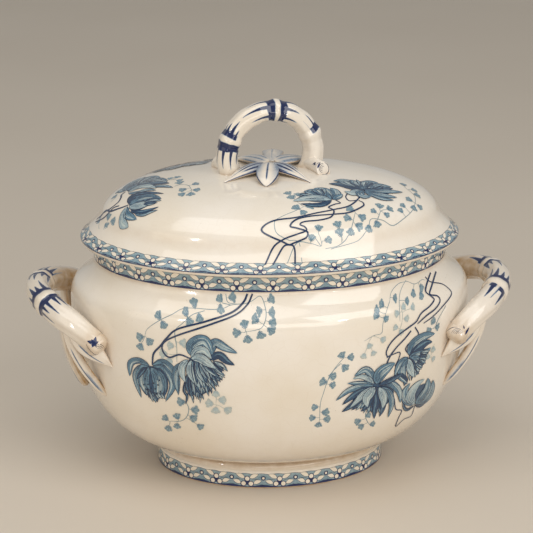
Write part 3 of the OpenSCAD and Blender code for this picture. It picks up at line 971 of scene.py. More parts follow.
LID_RIGHT = {
    "stems": [
        (((-13, -101), (-7, -95), (0, -93), (10, -91), (17, -89), (16, -87), (13, -86), (16, -84), (27, -82),
          (35, -79), (38, -75), (38, -72), (35, -70), (40, -66), (44, -64), (41, -61)), 1.15),
        (((-7.5, -101.3), (0, -95), (6, -94), (16, -92), (18, -90), (16, -89), (10, -88), (6, -87), (10, -83),
          (19, -80), (38, -76), (50, -72), (60, -64), (61, -60), (58, -58)), 1.25),
        (((8, -101.3), (8, -95), (3, -94), (-7, -92), (-14, -89), (-12, -86), (-4, -83), (11, -81), (27, -76),
          (38, -72), (50, -66), (58, -56), (60, -48)), 1.25),
        (((57, -58), (51, -60), (49, -56), (51, -50)), 0.9),
    ],
    "vines": [
        ([((13, -101), (12, -94), (9, -93), (4, -93), (-3, -91), (-5, -88), (-4, -83), (3, -79), (11, -75),
           (17, -71))],
         [(12, -72), (21, -70), (16, -76), (8, -54), (10, -60), (15, -56)], 6.6, "vine", 0.5),
        ([((2.5, -101), (9, -94), (19, -93), (27, -93), (27, -91), (26, -90)),
          ((27, -93), (25, -92), (22, -91))],
         [(20.5, -91.5), (26, -87), (32, -90.5)], 6.6, "vine", 0.5),
        ([((30, -93.5), (39, -91), (46, -87), (50, -82), (54, -71))],
         [(49, -84), (40, -83), (48, -77), (58, -73.5), (51, -69), (55, -80), (41, -86.5)], 6.4,
         "vine", 0.5),
        ([((34, -93), (46, -89), (55, -85), (62, -79), (65, -73), (73, -70.5), (82, -69), (95, -55),
           (101, -43), (103, -30), (98, -22)), ((66, -77), (70, -71), (73, -64))],
         [(68, -66), (73, -59.5), (80, -59), (77, -65), (89, -56), (91.5, -50), (98, -39), (105, -41),
          (100, -46), (62.5, -78.5), (69, -74), (97, -16), (104, -20), (105, -27)], 6.0, "vine", 0.5),
    ],
    "ground": [
        ((38, -60), (38, -51), (30, -48), (20, -53), (16, -62), (28, -65)),
        ((63, -43), (56, -34), (50, -33), (60, -29), (74, -30), (84, -34), (82, -41), (72, -45)),
    ],
    "flowers": [
        (((39, -60), (42, -54), (42, -48), (39, -44)), 8.0, "mid"),
        (((39, -61), (37, -53), (34, -48), (27, -46)), 9.0, "mid"),
        (((38, -61), (33, -56), (27, -51), (19, -52)), 9.0, "mid"),
        (((34, -57), (29, -58), (26, -62)), ((36, -44), (20, -50), (12, -63)), 14, 3.0),
        (((38, -62), (31, -60), (21, -61), (10, -65)), 7.4, "pale"),
        (((38, -62), (32, -67), (25, -69), (15, -68)), 4.5, "deep"),
        (((39, -61), (43, -57), (45, -55), (47, -52)), 4.7, "mid"),
        (((63, -42), (62, -34), (58, -29), (54, -27)), 8.0, "mid"),
        (((63, -42), (57, -33), (51, -29), (43, -31)), 8.0, "mid"),
        (((63, -43), (55, -40), (48, -37), (39, -37)), 8.0, "deep"),
        (((63, -41), (67, -31), (71, -26), (77, -25)), 8.0, "mid"),
        (((64, -42), (72, -33), (79, -29), (86, -28)), 8.0, "mid"),
        (((64, -43), (72, -38), (80, -34), (87, -30)), 7.0, "deep"),
        (((58, -40), (64, -36), (70, -39)), ((42, -33), (60, -25), (84, -28)), 18, 3.0),
        (((64, -43), (73, -41), (83, -37), (94, -32)), 5.6, "mid"),
        (((64, -44), (72, -45), (79, -45), (88, -43)), 5.6, "mid"),
        (((63, -45), (70, -48.5), (76, -50), (85, -48)), 4.4, "mid"),
        (((62, -44), (58, -47), (54, -50), (49, -48)), 7.0, "pale"),
        (((63, -44), (60, -49), (62, -52), (68, -50)), 6.4, "mid"),
    ],
}


def build_bouquets():
    """The bowl's two sprays on its front and again on its back, and the lid's sprays. The lid's rear
    has the right-hand one with fewer vines. Points on the lid lie closer, as its edge curves more."""
    for turn in (0.0, math.pi):
        for bouquet, seed in ((BOWL_LEFT, 11), (BOWL_RIGHT, 12)):
            pen = Pen("tureen", lambda plane, turn=turn: BOWL.front(plane, turn), seed)
            pen.upright = True
            draw(pen, bouquet)
    behind = dict(LID_RIGHT, vines=LID_RIGHT["vines"][:3])
    for bouquet, turn, seed in ((LID_LEFT, 0.0, 13), (LID_RIGHT, 0.0, 14), (behind, math.pi, 14)):
        pen = Pen("lid", lambda plane, turn=turn: LID.plan(plane, turn), seed)
        pen.grain = 0.45
        draw(pen, bouquet)


# ---- branches, leaves and their brushwork ----

def wrapped(angle):
    return (angle + math.pi) % (2 * math.pi) - math.pi


def soft(value, width=0.35):
    """0 below -width, 1 above width and smooth between them."""
    t = np.clip(0.5 + value / (2 * width), 0, 1)
    return t * t * (3 - 2 * t)


def bell(x, width):
    """1 at 0, and less and less to either side."""
    return np.exp(-(x / width) ** 2)


def fading(x, reach):
    """1 up to 0, and less and less above it."""
    return np.exp(-np.clip(x, 0, None) / reach)


def most(*layers):
    """At each point the strongest of some layers of paint."""
    return np.maximum.reduce(layers)


def branch(path, radius, face, columns):
    """A skin round a path. radius takes distances along and angles round, and gives the radius there.
    Also gives, for each point, its distance along and its angle."""
    s = lengths(path)
    along = unit(np.gradient(path, axis=0))
    across = unit(np.cross(np.array(face, float), along))
    lift = np.cross(along, across)
    a = np.linspace(0, 2 * math.pi, columns, endpoint=False)
    grid_s, grid_a = np.meshgrid(s, a, indexing="ij")
    r = radius(grid_s, grid_a)[..., None]
    points = path[:, None] + r * (across[:, None] * np.cos(a)[None, :, None]
                                  + lift[:, None] * np.sin(a)[None, :, None])
    return (np.concatenate([points.reshape(-1, 3), path[:1], path[-1:]]), capped(len(path), columns),
            np.append(grid_s, [s[0], s[-1]]), np.append(grid_a, [0, 0]))


def feathered_ring(s, a, radius, knot, side, strokes, thick, gap, middle, reach):
    """How blue a brushed ring makes each point: a band beside a knot with pointed strokes that run away
    from it. strokes holds (angle, length, width). The ring covers reach either side of middle."""
    d = side * (s - knot)
    uneven = 0.30 * np.sin(3 * a + knot) + 0.22 * np.sin(7 * a + 2.1 * knot + side)
    band = soft(d - gap - 0.5 * uneven) * soft(gap + thick + uneven - d)
    for angle, length, width in strokes:
        t = np.clip((d - gap - 0.5) / (thick + length), 0, 1)
        half = width / 2 * (1 - t) ** 0.9
        off = np.abs(wrapped(a - angle - 0.006 * d)) * radius
        stroke = soft(half - off, 0.3) * soft(d - gap) * (t < 1)
        band = np.maximum(band, stroke)
    return band * soft(reach - np.abs(wrapped(a - middle)), 0.08)


def flattened(points, place, normal, keep=0.12):
    """The points beyond a plane pressed back towards it, as where a branch was cut."""
    over = np.clip((points - place) @ normal, 0, None)
    return points - over[:, None] * (1 - keep) * normal


def drawn_on(points, faces, centre, across, up):
    """Where a pen's flat points land when they are pressed onto a finished piece."""
    tree = BVHTree.FromPolygons(points.tolist(), faces)
    across, up = unit(np.array(across, float)), unit(np.array(up, float))
    towards = np.cross(across, up)

    def place(flat):
        found, normals = [], []
        for x, y in flat:
            start = np.array(centre, float) + across * x + up * y + towards * 25
            hit, normal, _, _ = tree.ray_cast(Vector(start), Vector(-towards))
            if hit is None:
                hit, normal, _, _ = tree.find_nearest(Vector(start - towards * 25))
            normal = np.array(normal) * (1 if np.dot(normal, towards) > 0 else -1)
            found.append(np.array(hit))
            normals.append(normal)
        return np.array(found), np.array(normals)
    return place


# Tip of the cut end beyond that landing
STUB_END = (127.5, -65.2, 112.0)
# Distances of a side handle's knots from its crest, towards the rear
GRIP_KNOTS = (-30.5, 13.5)
GRIP_COLUMNS = 116
# How far along its path from either end a side handle lands on the bowl
LANDING = 10.4


def grip_path():
    """Middle of a right-hand loop from its front cut end to its rear one."""
    half = bezier([LAND, (149, -56, 133), (GRIP_CREST[0], -30, GRIP_CREST[2]), GRIP_CREST], 120)
    tail = bezier([STUB_END, (129.5, -64, 114), (131, -62, 116), LAND], 16)
    half = chain(tail, half)
    return smooth_path(chain(half, half[::-1] * [1, -1, 1])[::4], 0.5)


def grip_radius(s, a):
    """Branch: facets that run along it, a swelling at each knot and rounded ends."""
    end = s.max()
    middle = s - end / 2
    r = GRIP_TUBE - 0.9 * soft(np.abs(middle) - 66, 14)
    r = r + 0.20 * np.cos(5 * a + 0.02 * middle) + 0.14 * np.cos(9 * a - 0.05 * middle + 1)
    r = r + 0.16 * np.sin(0.21 * middle + 1.3 * np.sin(a))
    for knot in GRIP_KNOTS:
        r = r + 0.75 * bell(middle - knot, 3.0) - 0.35 * bell(np.abs(middle - knot) - 5.0, 1.6)
    near = np.clip(np.minimum(s, end - s) / 5.5, 0, 1)
    return np.clip(r, 1, None) * np.sqrt(1 - (1 - near) ** 2.2)


def build_grip(name, end, seed):
    """A side handle and its two cut ends. end is 1 on the right and -1 on the left. Gives their whole
    skin, for a pen to draw on."""
    random = np.random.default_rng(seed)
    path = grip_path()
    points, faces, s, a = branch(path, grip_radius, (0, 0, 1), GRIP_COLUMNS)
    # Distance from the crest, above zero towards the rear
    middle = s - s.max() / 2
    rings = []
    for knot in GRIP_KNOTS:
        for side in (-1, 1):
            count = 12
            strokes = [(2 * math.pi * (i + random.uniform(-0.2, 0.2)) / count + 0.4 * side,
                        random.uniform(6.0, 15.0), random.uniform(3.0, 4.6)) for i in range(count)]
            thick = random.uniform(4.0, 5.2)
            # One ring of the right-hand handle is only two dabs
            dabs = end > 0 and knot < 0 and side < 0
            gap = 4.6 if dabs else 3.3
            for centre, reach in (((1.72, 0.26), (2.62, 0.36)) if dabs else ((2.7, 2.1),)):
                rings.append(feathered_ring(middle, a, GRIP_TUBE, knot, side, strokes, thick, gap,
                                            centre, reach))
    blue = most(*rings)
    for side in (-1, 1):
        facing = unit(np.array([-0.30, -side * 0.92, -0.12]))
        place = np.array(STUB_END) * [1, side, 1]
        cut = place + facing * 4.6
        close = np.linalg.norm(points - place, axis=1) < 16
        points[close] = flattened(points[close], cut, facing)
    # Painted shade: the arm's inner side, which faces the bowl, is darker, and darker still towards the rear.
    # Stain and painted shade also darken its ends by the landings and the grooves beside its knots
    inner = soft(np.cos(a) - 0.35, 0.4) * soft(60 - np.abs(middle), 12)
    rear = soft(middle - 25, 22)
    stain = 0.12 + inner * (0.25 + 0.5 * rear) + 0.35 * soft(np.abs(middle) - 76, 8)
    for knot in GRIP_KNOTS:
        stain = stain + 0.22 * bell(np.abs(middle - knot) - 5.0, 1.4)
    points = points * [end, 1, 1]
    # The arm between its landings is the handle. The cut ends are beyond them and run 3 rings under it.
    rows, columns, shared = len(path), GRIP_COLUMNS, 3
    first = int(np.searchsorted(lengths(path), LANDING))
    cuts = {name + "_handle": (first, rows - first), name + "_front_stub": (0, first + shared),
            name + "_rear_stub": (rows - first - shared, rows)}
    for node, (low, high) in cuts.items():
        kept = slice(low * columns, high * columns)
        part = points[kept].copy()
        centre = part.reshape(high - low, columns, 3).mean(1)
        if "stub" in node:
            # The rings under the arm are a little thinner than it
            under = slice(-shared * columns, None) if low == 0 else slice(0, shared * columns)
            part[under] += (np.repeat(centre, columns, 0)[under] - part[under]) * 0.02
        piece(node + "_body", np.concatenate([part, centre[:1], centre[-1:]]),
              capped(high - low, columns), PAINTED, "tureen", [node],
              blue=np.append(blue[kept], [0, 0]), stain=np.append(stain[kept], [0.5, 0.5]))
    return points, faces


def draw_cut_end(points, faces, end, side, seed):
    """What is brushed beside a cut end: a star with rings and a dark lower line, or rings alone."""
    centre = (np.array(STUB_END) * 0.55 + np.array(LAND) * 0.45) * [end, side, 1]
    pen = Pen("tureen", drawn_on(points, faces, centre, (side, 0, 0), (0, 0.3 * side, 0.95)), seed)

    def ring(x, y, radius, first, last, width):
        pen.stroke(arc((x, y), radius, first, last, 11), width, "line", 0.3, 0.3, 0.3, 0.5)

    if end * side < 0:
        for angle, length, width in ((20, 3.4, 2.6), (75, 5.0, 2.8), (125, 3.6, 2.6), (160, 5.6, 3.0),
                                     (235, 3.6, 2.6), (300, 3.0, 2.4)):
            ray = np.array([math.cos(math.radians(angle)), math.sin(math.radians(angle))])
            root = np.array([-2.8, 3.2])
            pen.lens(root - ray * 1.4, root + ray * length, width, "navy")
        for radius in (1.5, 2.7, 3.9):
            ring(0.6, -1.6, radius, 20, 150, 0.36)
        pen.stroke([(-8.6, 2.6), (-6.6, -1.0), (-3.4, -4.4), (1.6, -7.0)], 0.55, "line", 0.4, 0.2, 0.3, 0.6)
    else:
        for radius in (1.3, 2.3, 3.3, 4.3):
            ring(0.4, 1.4, radius, 15, 165, 0.34)
        ring(-1.0, 0.4, 6.4, 75, 150, 0.5)
        pen.lens((6.2, 1.0), (9.4, 6.6), 1.7, "navy")
        pen.lens((5.6, 5.2), (5.2, 8.0), 1.0, "navy")


def blade(controls, half_width, thick, face, fold, groove, curl, rows=90, columns=88):
    """A leaf's closed skin along a curve. half_width gives it at each share of the length. fold lifts
    the middle into a ridge, groove sinks a vein along it and curl raises the edges.
    Also gives each point's share of the length, place across from -1 to 1, and whether it is on top."""
    path = bezier(controls, rows)
    t = lengths(path) / lengths(path)[-1]
    along = unit(np.gradient(path, axis=0))
    across = unit(np.cross(np.array(face, float), along))
    lift = np.cross(along, across)
    a = np.linspace(0, 2 * math.pi, columns, endpoint=False)
    u, w = np.cos(a), np.sin(a)
    width = np.array([max(half_width(v), 0.25) for v in t])[:, None]
    height = thick * np.clip(width / width.max(), 0.25, 1) ** 0.6
    top = w > 0
    rise = np.sign(w) * np.abs(w) ** 0.8
    body = height * rise[None] * np.where(top, 1.0, 0.7)[None]
    body = body + top[None] * (fold * height * np.exp(-np.abs(u) * 4)[None]
                               - groove * bell(u[None] * width, 0.8)
                               + curl * height * np.abs(u)[None] ** 3)
    points = path[:, None] + across[:, None] * (width * u[None])[..., None] + lift[:, None] * body[..., None]
    points = np.concatenate([points.reshape(-1, 3), path[:1], path[-1:]])
    share = np.append(np.repeat(t, columns), [0, 1])
    place = np.append(np.tile(u, len(path)), [0, 0])
    upper = np.append(np.tile(top, len(path)), [0, 0]).astype(float)
    return points, capped(len(path), columns), share, place, upper


def leaf_width(root, broad, tip, power):
    """Half width of a leaf at each share t of its length, for its root, its tip and what lies between."""
    return lambda t: root * (1 - t) + tip * t + broad * math.sin(math.pi * t ** power) ** 1.2


def build_side_leaves(name, end, side):
    """The long leaf under a cut end, the frond beside it and the bud at the outside, at one landing.
    Each starts inside the branch, so that it grows out of it."""
    label = name + ("_front" if side > 0 else "_rear")
    parts = (
        ("leaf", ((149, -54, 126), (140, -60, 117), (129, -63.5, 108), (120, -63.5, 99.5)),
         leaf_width(4.0, 5.6, 0.5, 0.85), 3.4, (0.62, -0.68, 0.4), 0.25, 0.4, 0.2),
        ("frond", ((153, -49, 128), (150, -49, 108), (139, -48, 89), (124.5, -46.5, 71.5)),
         lambda t: (3.4 + 1.9 * math.sin(math.pi * t ** 0.9)) * (1 - t ** 9) ** 0.5, 3.6, (0.8, -0.55, 0),
         0.25, 0.0, 0.0),
        ("bud", ((154, -45, 128), (153, -35, 106), (149.5, -20, 88), (139, -13, 67)),
         lambda t: (3.6 + 1.9 * t ** 3) * math.sqrt(max(1 - t ** 12, 0.01)), 4.0, (1, 0, 0), 0.2, 0.0, 0.0),
    )
    for kind, controls, half, thick, facing, fold, groove, curl in parts:
        points, faces, share, place, upper = blade(controls, half, thick, facing, fold, groove, curl)

        def streak(middle, width, first, last):
            """A brushed line along the blade."""
            return bell(place - middle, width) * upper * soft(share - first, 0.06) * soft(last - share, 0.06)

        if kind == "leaf":
            blue = most(0.9 * streak(0.42 + 0.3 * (share - 0.4), 0.055, 0.30, 0.82),
                        0.9 * soft(place - 0.93, 0.05) * upper * soft(share - 0.5, 0.1),
                        0.75 * streak(-0.2, 0.10, 0.10, 0.24), 0.75 * streak(0.15, 0.10, 0.08, 0.20))
        elif kind == "frond":
            blue = most(0.95 * streak(-0.42, 0.07, 0.30, 0.90), 0.45 * streak(-0.62, 0.20, 0.62, 0.92))
        else:
            blue = most(0.95 * streak(-0.30, 0.30, 0.86, 0.97), 0.9 * streak(-0.65, 0.10, 0.74, 0.93))
        # Painted shade: the underside is darker. The edges and the tip are darker too
        stain = 0.12 + 0.45 * (1 - upper) + 0.30 * soft(np.abs(place) - 0.9, 0.1)
        stain = stain + 0.15 * soft(share - 0.85, 0.1)
        piece(f"{label}_{kind}_body", points * [end, side, 1], faces, PAINTED, "tureen",
              [f"{label}_{kind}"], blue=blue, stain=stain)


LOOP_CENTRE_Z = LOOP_TOP - LOOP_TUBE - LOOP_R
# From this height down the loop's feet are at their stoutest
LOOP_STOUT_Z = 222
# Knots on the loop, in degrees from its right-hand side
LOOP_KNOTS = (157, 84, 24)


def build_loop():
    """The lid's handle: a branch bent into a loop, with its feet tucked in and set on the lid."""
    direction = np.array([math.cos(LOOP_TURN), math.sin(LOOP_TURN), 0])
    facing = np.array([math.sin(LOOP_TURN), -math.cos(LOOP_TURN), 0])
    a = np.linspace(-LOOP_TUCK, math.pi + LOOP_TUCK, 300)
    path = LOOP_R * np.cos(a)[:, None] * direction
    path[:, 2] = LOOP_CENTRE_Z + LOOP_R * np.sin(a)
    knots = [LOOP_R * (math.radians(k) + LOOP_TUCK) for k in LOOP_KNOTS]

    def radius(s, t):
        r = LOOP_TUBE - 0.70 + 0.22 * np.cos(4 * t + 0.03 * s) + 0.14 * np.cos(7 * t - 0.06 * s)
        r = r + 0.14 * np.sin(0.23 * s + 1.2 * np.sin(t)) + 0.15 * np.cos(t) * np.sin(0.55 * s)
        for knot in knots:
            r = r + 0.75 * bell(s - knot, 2.6) - 0.30 * bell(np.abs(s - knot) - 5, 1.6)
        above = LOOP_CENTRE_Z + LOOP_R * np.sin(s / LOOP_R - LOOP_TUCK) - LOOP_STOUT_Z
        return r + 1.9 * fading(above, 4.0)

    points, faces, s, t = branch(path, radius, facing, 112)
    points[:, 2] = np.maximum(points[:, 2], LID_ROOT_Z)
    left, top, right = knots
    # Knot, side of it, strokes, then the ring's thickness, gap, middle and reach
    rings = (
        (left, -1, ((3.1, 3, 3.4), (2.6, 5, 3.6), (2.1, 8.5, 3.8), (1.6, 4, 2.6)), 3.4, 2.0, 2.8, 1.35),
        (left, 1, ((3.0, 9, 3.3), (2.2, 11.5, 3.4), (1.45, 12.5, 3.4), (0.75, 10.5, 3.0)),
         5.4, 2.0, 2.0, 1.9),
        (top, 1, ((2.9, 12, 3.4), (2.1, 17, 3.6), (1.2, 14, 3.0), (0.5, 6, 2.4), (-2.4, 9, 2.6)),
         5.2, 1.9, 2.1, 2.3),
        (top, -1, ((2.9, 11, 3.4), (2.0, 9, 3.4), (1.1, 11, 2.8), (0.5, 5, 2.4), (-2.4, 7, 2.6)),
         4.8, 1.9, 2.1, 2.3),
        (right, 1, ((2.3, 9.0, 2.6), (1.6, 7.0, 1.6)), 4.2, 1.6, 2.6, 0.9),
    )
    blue = most(*(feathered_ring(s, t, LOOP_TUBE, *ring) for ring in rings))
    # Painted shade: darker where the feet meet the lid and along the loop's inner side
    stain = 0.06 + 0.45 * fading(points[:, 2] - LID_ROOT_Z - 1.5, 2.5) + 0.12 * soft(np.cos(t) - 0.5, 0.4)
    piece("lid_handle_body", points, faces, PAINTED, "lid", ["lid_handle"], blue=blue, stain=stain)


def half_turned(points, turn):
    """Points of the lid's front as they are, or moved round to its rear where turn is a half turn."""
    return points * [math.cos(turn), math.cos(turn), 1.0]


def build_lid_leaf(name, turn, strength):
    """Leaf with a broad middle lobe over two long ones that reach out sideways. strength is that of
    its blue."""
    def middle_width(t):
        if t < 0.62:
            return 4.0 + 4.2 * math.sin(math.pi / 2 * t / 0.62)
        return 8.2 * max(1 - ((t - 0.62) / 0.385) ** 2.1, 0.0) ** 0.8

    side_width = leaf_width(6.2, 4.2, 0.4, 0.55)
    lobes = (
        (((-3, -6, 230.5), (-12, -11, 233), (-24, -20, 230), (-36, -30.5, 226.0)), side_width, -1),
        (((0, -6, 230.5), (7, -12, 233), (17, -24, 230), (26, -36, 226.0)), side_width, 1),
        (((-1.5, -5, 231), (-2.5, -16, 236), (-5, -31, 233), (-7, -43, 225.8)), middle_width, 0),
    )
    every, skins, blue, stain, count = [], [], [], [], 0
    for controls, half, side in lobes:
        curl = 0.2 if side == 0 else 0.0
        points, faces, share, place, upper = blade(controls, half, 3.0, (0, 0, 1), 0.3, 0.5, curl, 100, 100)
        vein = bell(place, 0.07) * upper * soft(0.86 - share, 0.05) * soft(share - 0.05, 0.03)
        rim = soft(np.abs(place) - 0.92, 0.05) * upper
        if side == 0:
            paint = most(0.50 * soft(np.abs(place) - 0.55, 0.35) * soft(0.72 - share, 0.3) * upper,
                         0.45 * soft(0.22 - share, 0.12) * upper, 0.95 * vein,
                         0.9 * rim * soft(share - 0.55, 0.2))
        else:
            rays = soft(np.sin(place * 13 + 2.5 * share) - 0.1, 0.5)
            rays = rays * soft(0.62 - share - 0.12 * np.abs(place), 0.12)
            rays = upper * most(0.95 * rays, 0.4 * soft(0.45 - share, 0.2)) * soft(share - 0.04, 0.06)
            paint = most(rays, 0.85 * rim * (place * side < 0) * soft(share - 0.25, 0.2),
                         0.6 * vein * soft(share - 0.45, 0.1))
        every.append(points)
        skins += [tuple(v + count for v in face) for face in faces]
        blue.append(paint * strength)
        # Painted shade: the lobes' undersides are darker, and their edges are darker too
        stain.append(0.08 + 0.3 * (1 - upper) + 0.2 * soft(np.abs(place) - 0.9, 0.1))
        count += len(points)
    points = np.concatenate(every)
    points[:, 2] = np.maximum(points[:, 2], LID_ROOT_Z)
    piece(name + "_body", half_turned(points, turn), skins, PAINTED, "lid", [name],
          "blue_painted_glaze", blue=np.concatenate(blue), stain=np.concatenate(stain))


def build_lid_stub(name, turn):
    """A short cut branch end beside a foot of the loop."""
    path = smooth_path([(28, 8, 229.2), (32, -1, 230.4), (35, -8, 230.4), (37.2, -14, 230.0),
                        (38.6, -18.5, 229.6)], 0.4)

    def radius(s, a):
        near = np.clip((s.max() - s) / 1.6, 0, 1)
        r = 5.4 + 0.16 * np.cos(4 * a + 0.1 * s) + 0.35 * bell(s - s.max() + 3, 2.5)
        return r * np.sqrt(1 - (1 - near) ** 2.2 * 0.95)

    points, faces = branch(path, radius, (0, 0, 1), 80)[:2]
    centre, facing = np.array([36.5, -12.9, 229.9]), unit(np.array([0.42, -0.80, 0.44]))
    points = flattened(points, centre + facing * 2.4, facing, 0.04)
    points[:, 2] = np.maximum(points[:, 2], LID_ROOT_Z)
    # Painted shade: darker where the stub meets the lid
    stain = 0.08 + 0.45 * fading(points[:, 2] - LID_ROOT_Z - 1, 1.6)
    points, centre, facing = (half_turned(v, turn) for v in (points, centre, facing))
    piece(name + "_body", points, faces, PAINTED, "lid", [name], blue=np.zeros(len(points)), stain=stain)
    across = np.cross((0, 0, 1), facing)
    up = np.cross(facing, unit(across))
    pen = Pen("lid", drawn_on(points, faces, centre, across, up), 31)
    for reach, first, last, width in ((1.3, 40, 220, 0.34), (2.4, 60, 240, 0.34), (3.5, 70, 250, 0.38),
                                      (4.8, -115, 60, 0.55)):
        pen.stroke(arc((0, 0), reach, first, last, 13), width, "line", 0.4, 0.4, 0.3, 0.4)
    pen.lens((-4.9, 0.6), (-0.6, 5.2), 2.0, "navy", 0.5)
    pen.lens((-6.2, 2.4), (-2.2, 6.2), 1.2, "navy", 0.4)


def build_branches():
    for name, end, seed in (("left", -1, 41), ("right", 1, 42)):
        points, faces = build_grip(name, end, seed)
        for side in (1, -1):
            draw_cut_end(points, faces, end, side, seed + side)
            build_side_leaves(name, end, side)
    build_loop()
    build_lid_leaf("lid_front_leaf", 0.0, 1.0)
    build_lid_leaf("lid_rear_leaf", math.pi, 0.45)
    build_lid_stub("lid_right_stub", 0.0)
    build_lid_stub("lid_left_stub", math.pi)


# ---- build ----

# How many points go round a large body and round a ring
ROUND, RING_ROUND = 384, 288


def stain_of_bowl(points):
    """Painted shade and pooled glaze: brown in the crease over the foot, below the collar and round the
    landings, and a little darker towards the bottom.
    """
    z = points[:, 2]
    # Pooled glaze and painted shade in the crease over the foot and under the collar
    crease = fading(z - FOOT_H, 7) * (np.hypot(points[:, 0], points[:, 1]) > 50)
    root = bell(z - COLLAR_Z, 1.6) * 0.35
    # Painted shade: the bowl is a little darker towards the bottom
    low = np.clip((70 - z) / 60, 0, 1) * 0.10
    # Pooled glaze and painted shade round the handles' landings
    near = 0
    for x in (-1, 1):
        for y in (-1, 1):
            d = np.linalg.norm(points - np.array([x * 128, y * 58, 112]), axis=1)
            near = near + fading(d - 7, 7) * 0.30
    return 0.42 * crease + root + low + near


def build_bowl():
    outer_rim = arc((COLLAR_TOP_HALF - RIM_ROUND, RIM_Z - RIM_ROUND), RIM_ROUND, 0, 90, 6)
    inner_rim = arc((COLLAR_TOP_HALF - WALL + 1, RIM_Z - 1), 1, 90, 180, 4)
    floor_z = FOOT_H + WALL
    inside = chain(line((COLLAR_TOP_HALF - WALL, RIM_Z - 1), (COLLAR_HALF - WALL, COLLAR_Z + 1), 5),
                   bowl_side(WALL, INNER_FLOOR_HALF)[::-1],
                   line((INNER_FLOOR_HALF, floor_z), (0, floor_z), 10))
    under = line((0, FOOT_H), (FLOOR_HALF, FOOT_H), 12)
    outline = chain(with_share(chain(under, bowl_outside(), outer_rim), OVAL),
                    with_share(chain(inner_rim, inside), INNER_OVAL))
    points, faces = turned(outline, ROUND)
    piece("bowl_body", points, faces, GLAZE, "tureen", ["bowl"], stain=stain_of_bowl(points))


def build_foot():
    inside = chain(line((FLOOR_HALF, FOOT_H), (FLOOR_HALF - 5, FOOT_H), 2),
                   line((FLOOR_HALF - 5, FOOT_H), (FLOOR_HALF - 5.5, FOOT_H / 2), 4),
                   line((FLOOR_HALF - 5.5, FOOT_H / 2), (FOOT_HALF - 7.4, 1.0), 4),
                   arc((FOOT_HALF - 6.6, 1.0), 0.8, 180, 270, 3),
                   line((FOOT_HALF - 5.6, 0.2), (FOOT_HALF - 1.6, 0.2), 2))
    outline = chain(foot_outside(), inside)
    points, faces = turned(with_share(outline, FOOT_OVAL), RING_ROUND, closed=True)
    z, reach = points[:, 2], np.hypot(points[:, 0], points[:, 1] / FOOT_OVAL)
    # Painted shade and stain: darker up the cove towards the crease under the bowl and on the ring's inside
    # under the bowl, and darker along the lowest edge too
    stain = np.clip((z - FOOT_BAND) / 5, 0, 1) * 0.55 + 0.75 * (z < 1.2) + 0.3 * (reach < FLOOR_HALF - 4)
    piece("foot_body", points, faces, GLAZE, "tureen", ["foot_ring"], stain=stain)
    # The edge it stands on was wiped free of glaze
    wiped = chain(line((FOOT_HALF - 5.8, 0.5), (FOOT_HALF - 5.8, 0.25), 1),
                  arc((FOOT_HALF - 5.5, 0.25), 0.25, 180, 270, 3),
                  arc((FOOT_HALF - 1.7, 0.25), 0.25, 270, 360, 3),
                  line((FOOT_HALF - 1.45, 0.25), (FOOT_HALF - 1.45, 0.5), 1))
    points, faces = turned(with_share(wiped, FOOT_OVAL), RING_ROUND, closed=True)
    piece("foot_wiped_edge", points, faces, CLAY, "tureen", ["foot_ring"])


def build_lid():
    lip = chain(line((DOME_HALF - WALL, SEAT_Z), (LIP_HALF - LIP_UNDER, SEAT_Z), 8),
                arc((LIP_HALF - LIP_UNDER, SEAT_Z + LIP_UNDER), LIP_UNDER, -90, 0, 4))
    inner_half, inner_base = DOME_HALF - WALL, DOME_Z - 2
    inside = chain(dome(inner_half, inner_base, CROWN_Z - WALL, np.linspace(90, 0, 60)),
                   line((inner_half, inner_base), (inner_half, SEAT_Z), 6))
    outline = chain(with_share(inside, INNER_OVAL), with_share(chain(lip[1:], lid_outside()), OVAL))
    points, faces = turned(outline, ROUND)
    z, reach = points[:, 2], np.hypot(points[:, 0], points[:, 1] / OVAL)
    # Painted shade: darker in the crease at the dome's root. The lip's lower edge is darker too
    stain = 0.12 * bell(reach - DOME_HALF, 2.5) * (z > DOME_Z - 4)
    stain = stain + 0.25 * (z < SEAT_Z + 2.5) * (reach > LIP_HALF - 3)
    piece("lid_body", points, faces, GLAZE, "lid", ["lid_dome"], stain=stain)


def build_locating_ring():
    low, inner = SEAT_Z - RING_DEPTH, RING_HALF - RING_WALL
    outline = chain(line((RING_HALF, SEAT_Z), (inner, SEAT_Z), 2),
                    line((inner, SEAT_Z), (inner, low + 1.2), 4),
                    arc((inner + 1.2, low + 1.2), 1.2, 180, 270, 4),
                    arc((RING_HALF - 1.8, low + 1.0), 1.0, -90, 0, 4),
                    line((RING_HALF - 0.8, low + 1.0), (RING_HALF, SEAT_Z), 4))
    points, faces = turned(with_share(outline[:-1], INNER_OVAL), RING_ROUND, closed=True)
    # Darker towards the ring's lower edge
    stain = 0.5 * np.clip((low + 3 - points[:, 2]) / 3, 0, 1)
    piece("locating_ring", points, faces, GLAZE, "lid", ["lid_locating_ring"], stain=stain)


def build_borders():
    def at_height(skin, z):
        return float(np.interp(z, skin.z, skin.s))

    lid_base = at_height(LID, SEAT_Z + 2.0)
    border("tureen", BOWL, at_height(BOWL, COLLAR_Z + 0.6), height=11.4, tiles=29, front_x=-32.3, seed=3)
    border("lid", LID, lid_base, at_height(LID, SEAT_Z + 9.3) - lid_base, tiles=29, front_x=-16.6, seed=5)
    border("tureen", FOOT, at_height(FOOT, 1.0), height=11.0, tiles=20, front_x=1.0, seed=7)


def build_inks():
    for (body, tone), ink in INKS.items():
        piece(f"{body}_print_{tone}", np.concatenate(ink.points), ink.faces, INK_MATERIAL[tone], body,
              slot="blue_painted_glaze" if tone != "reserve" else "ivory_glaze", closed=False)


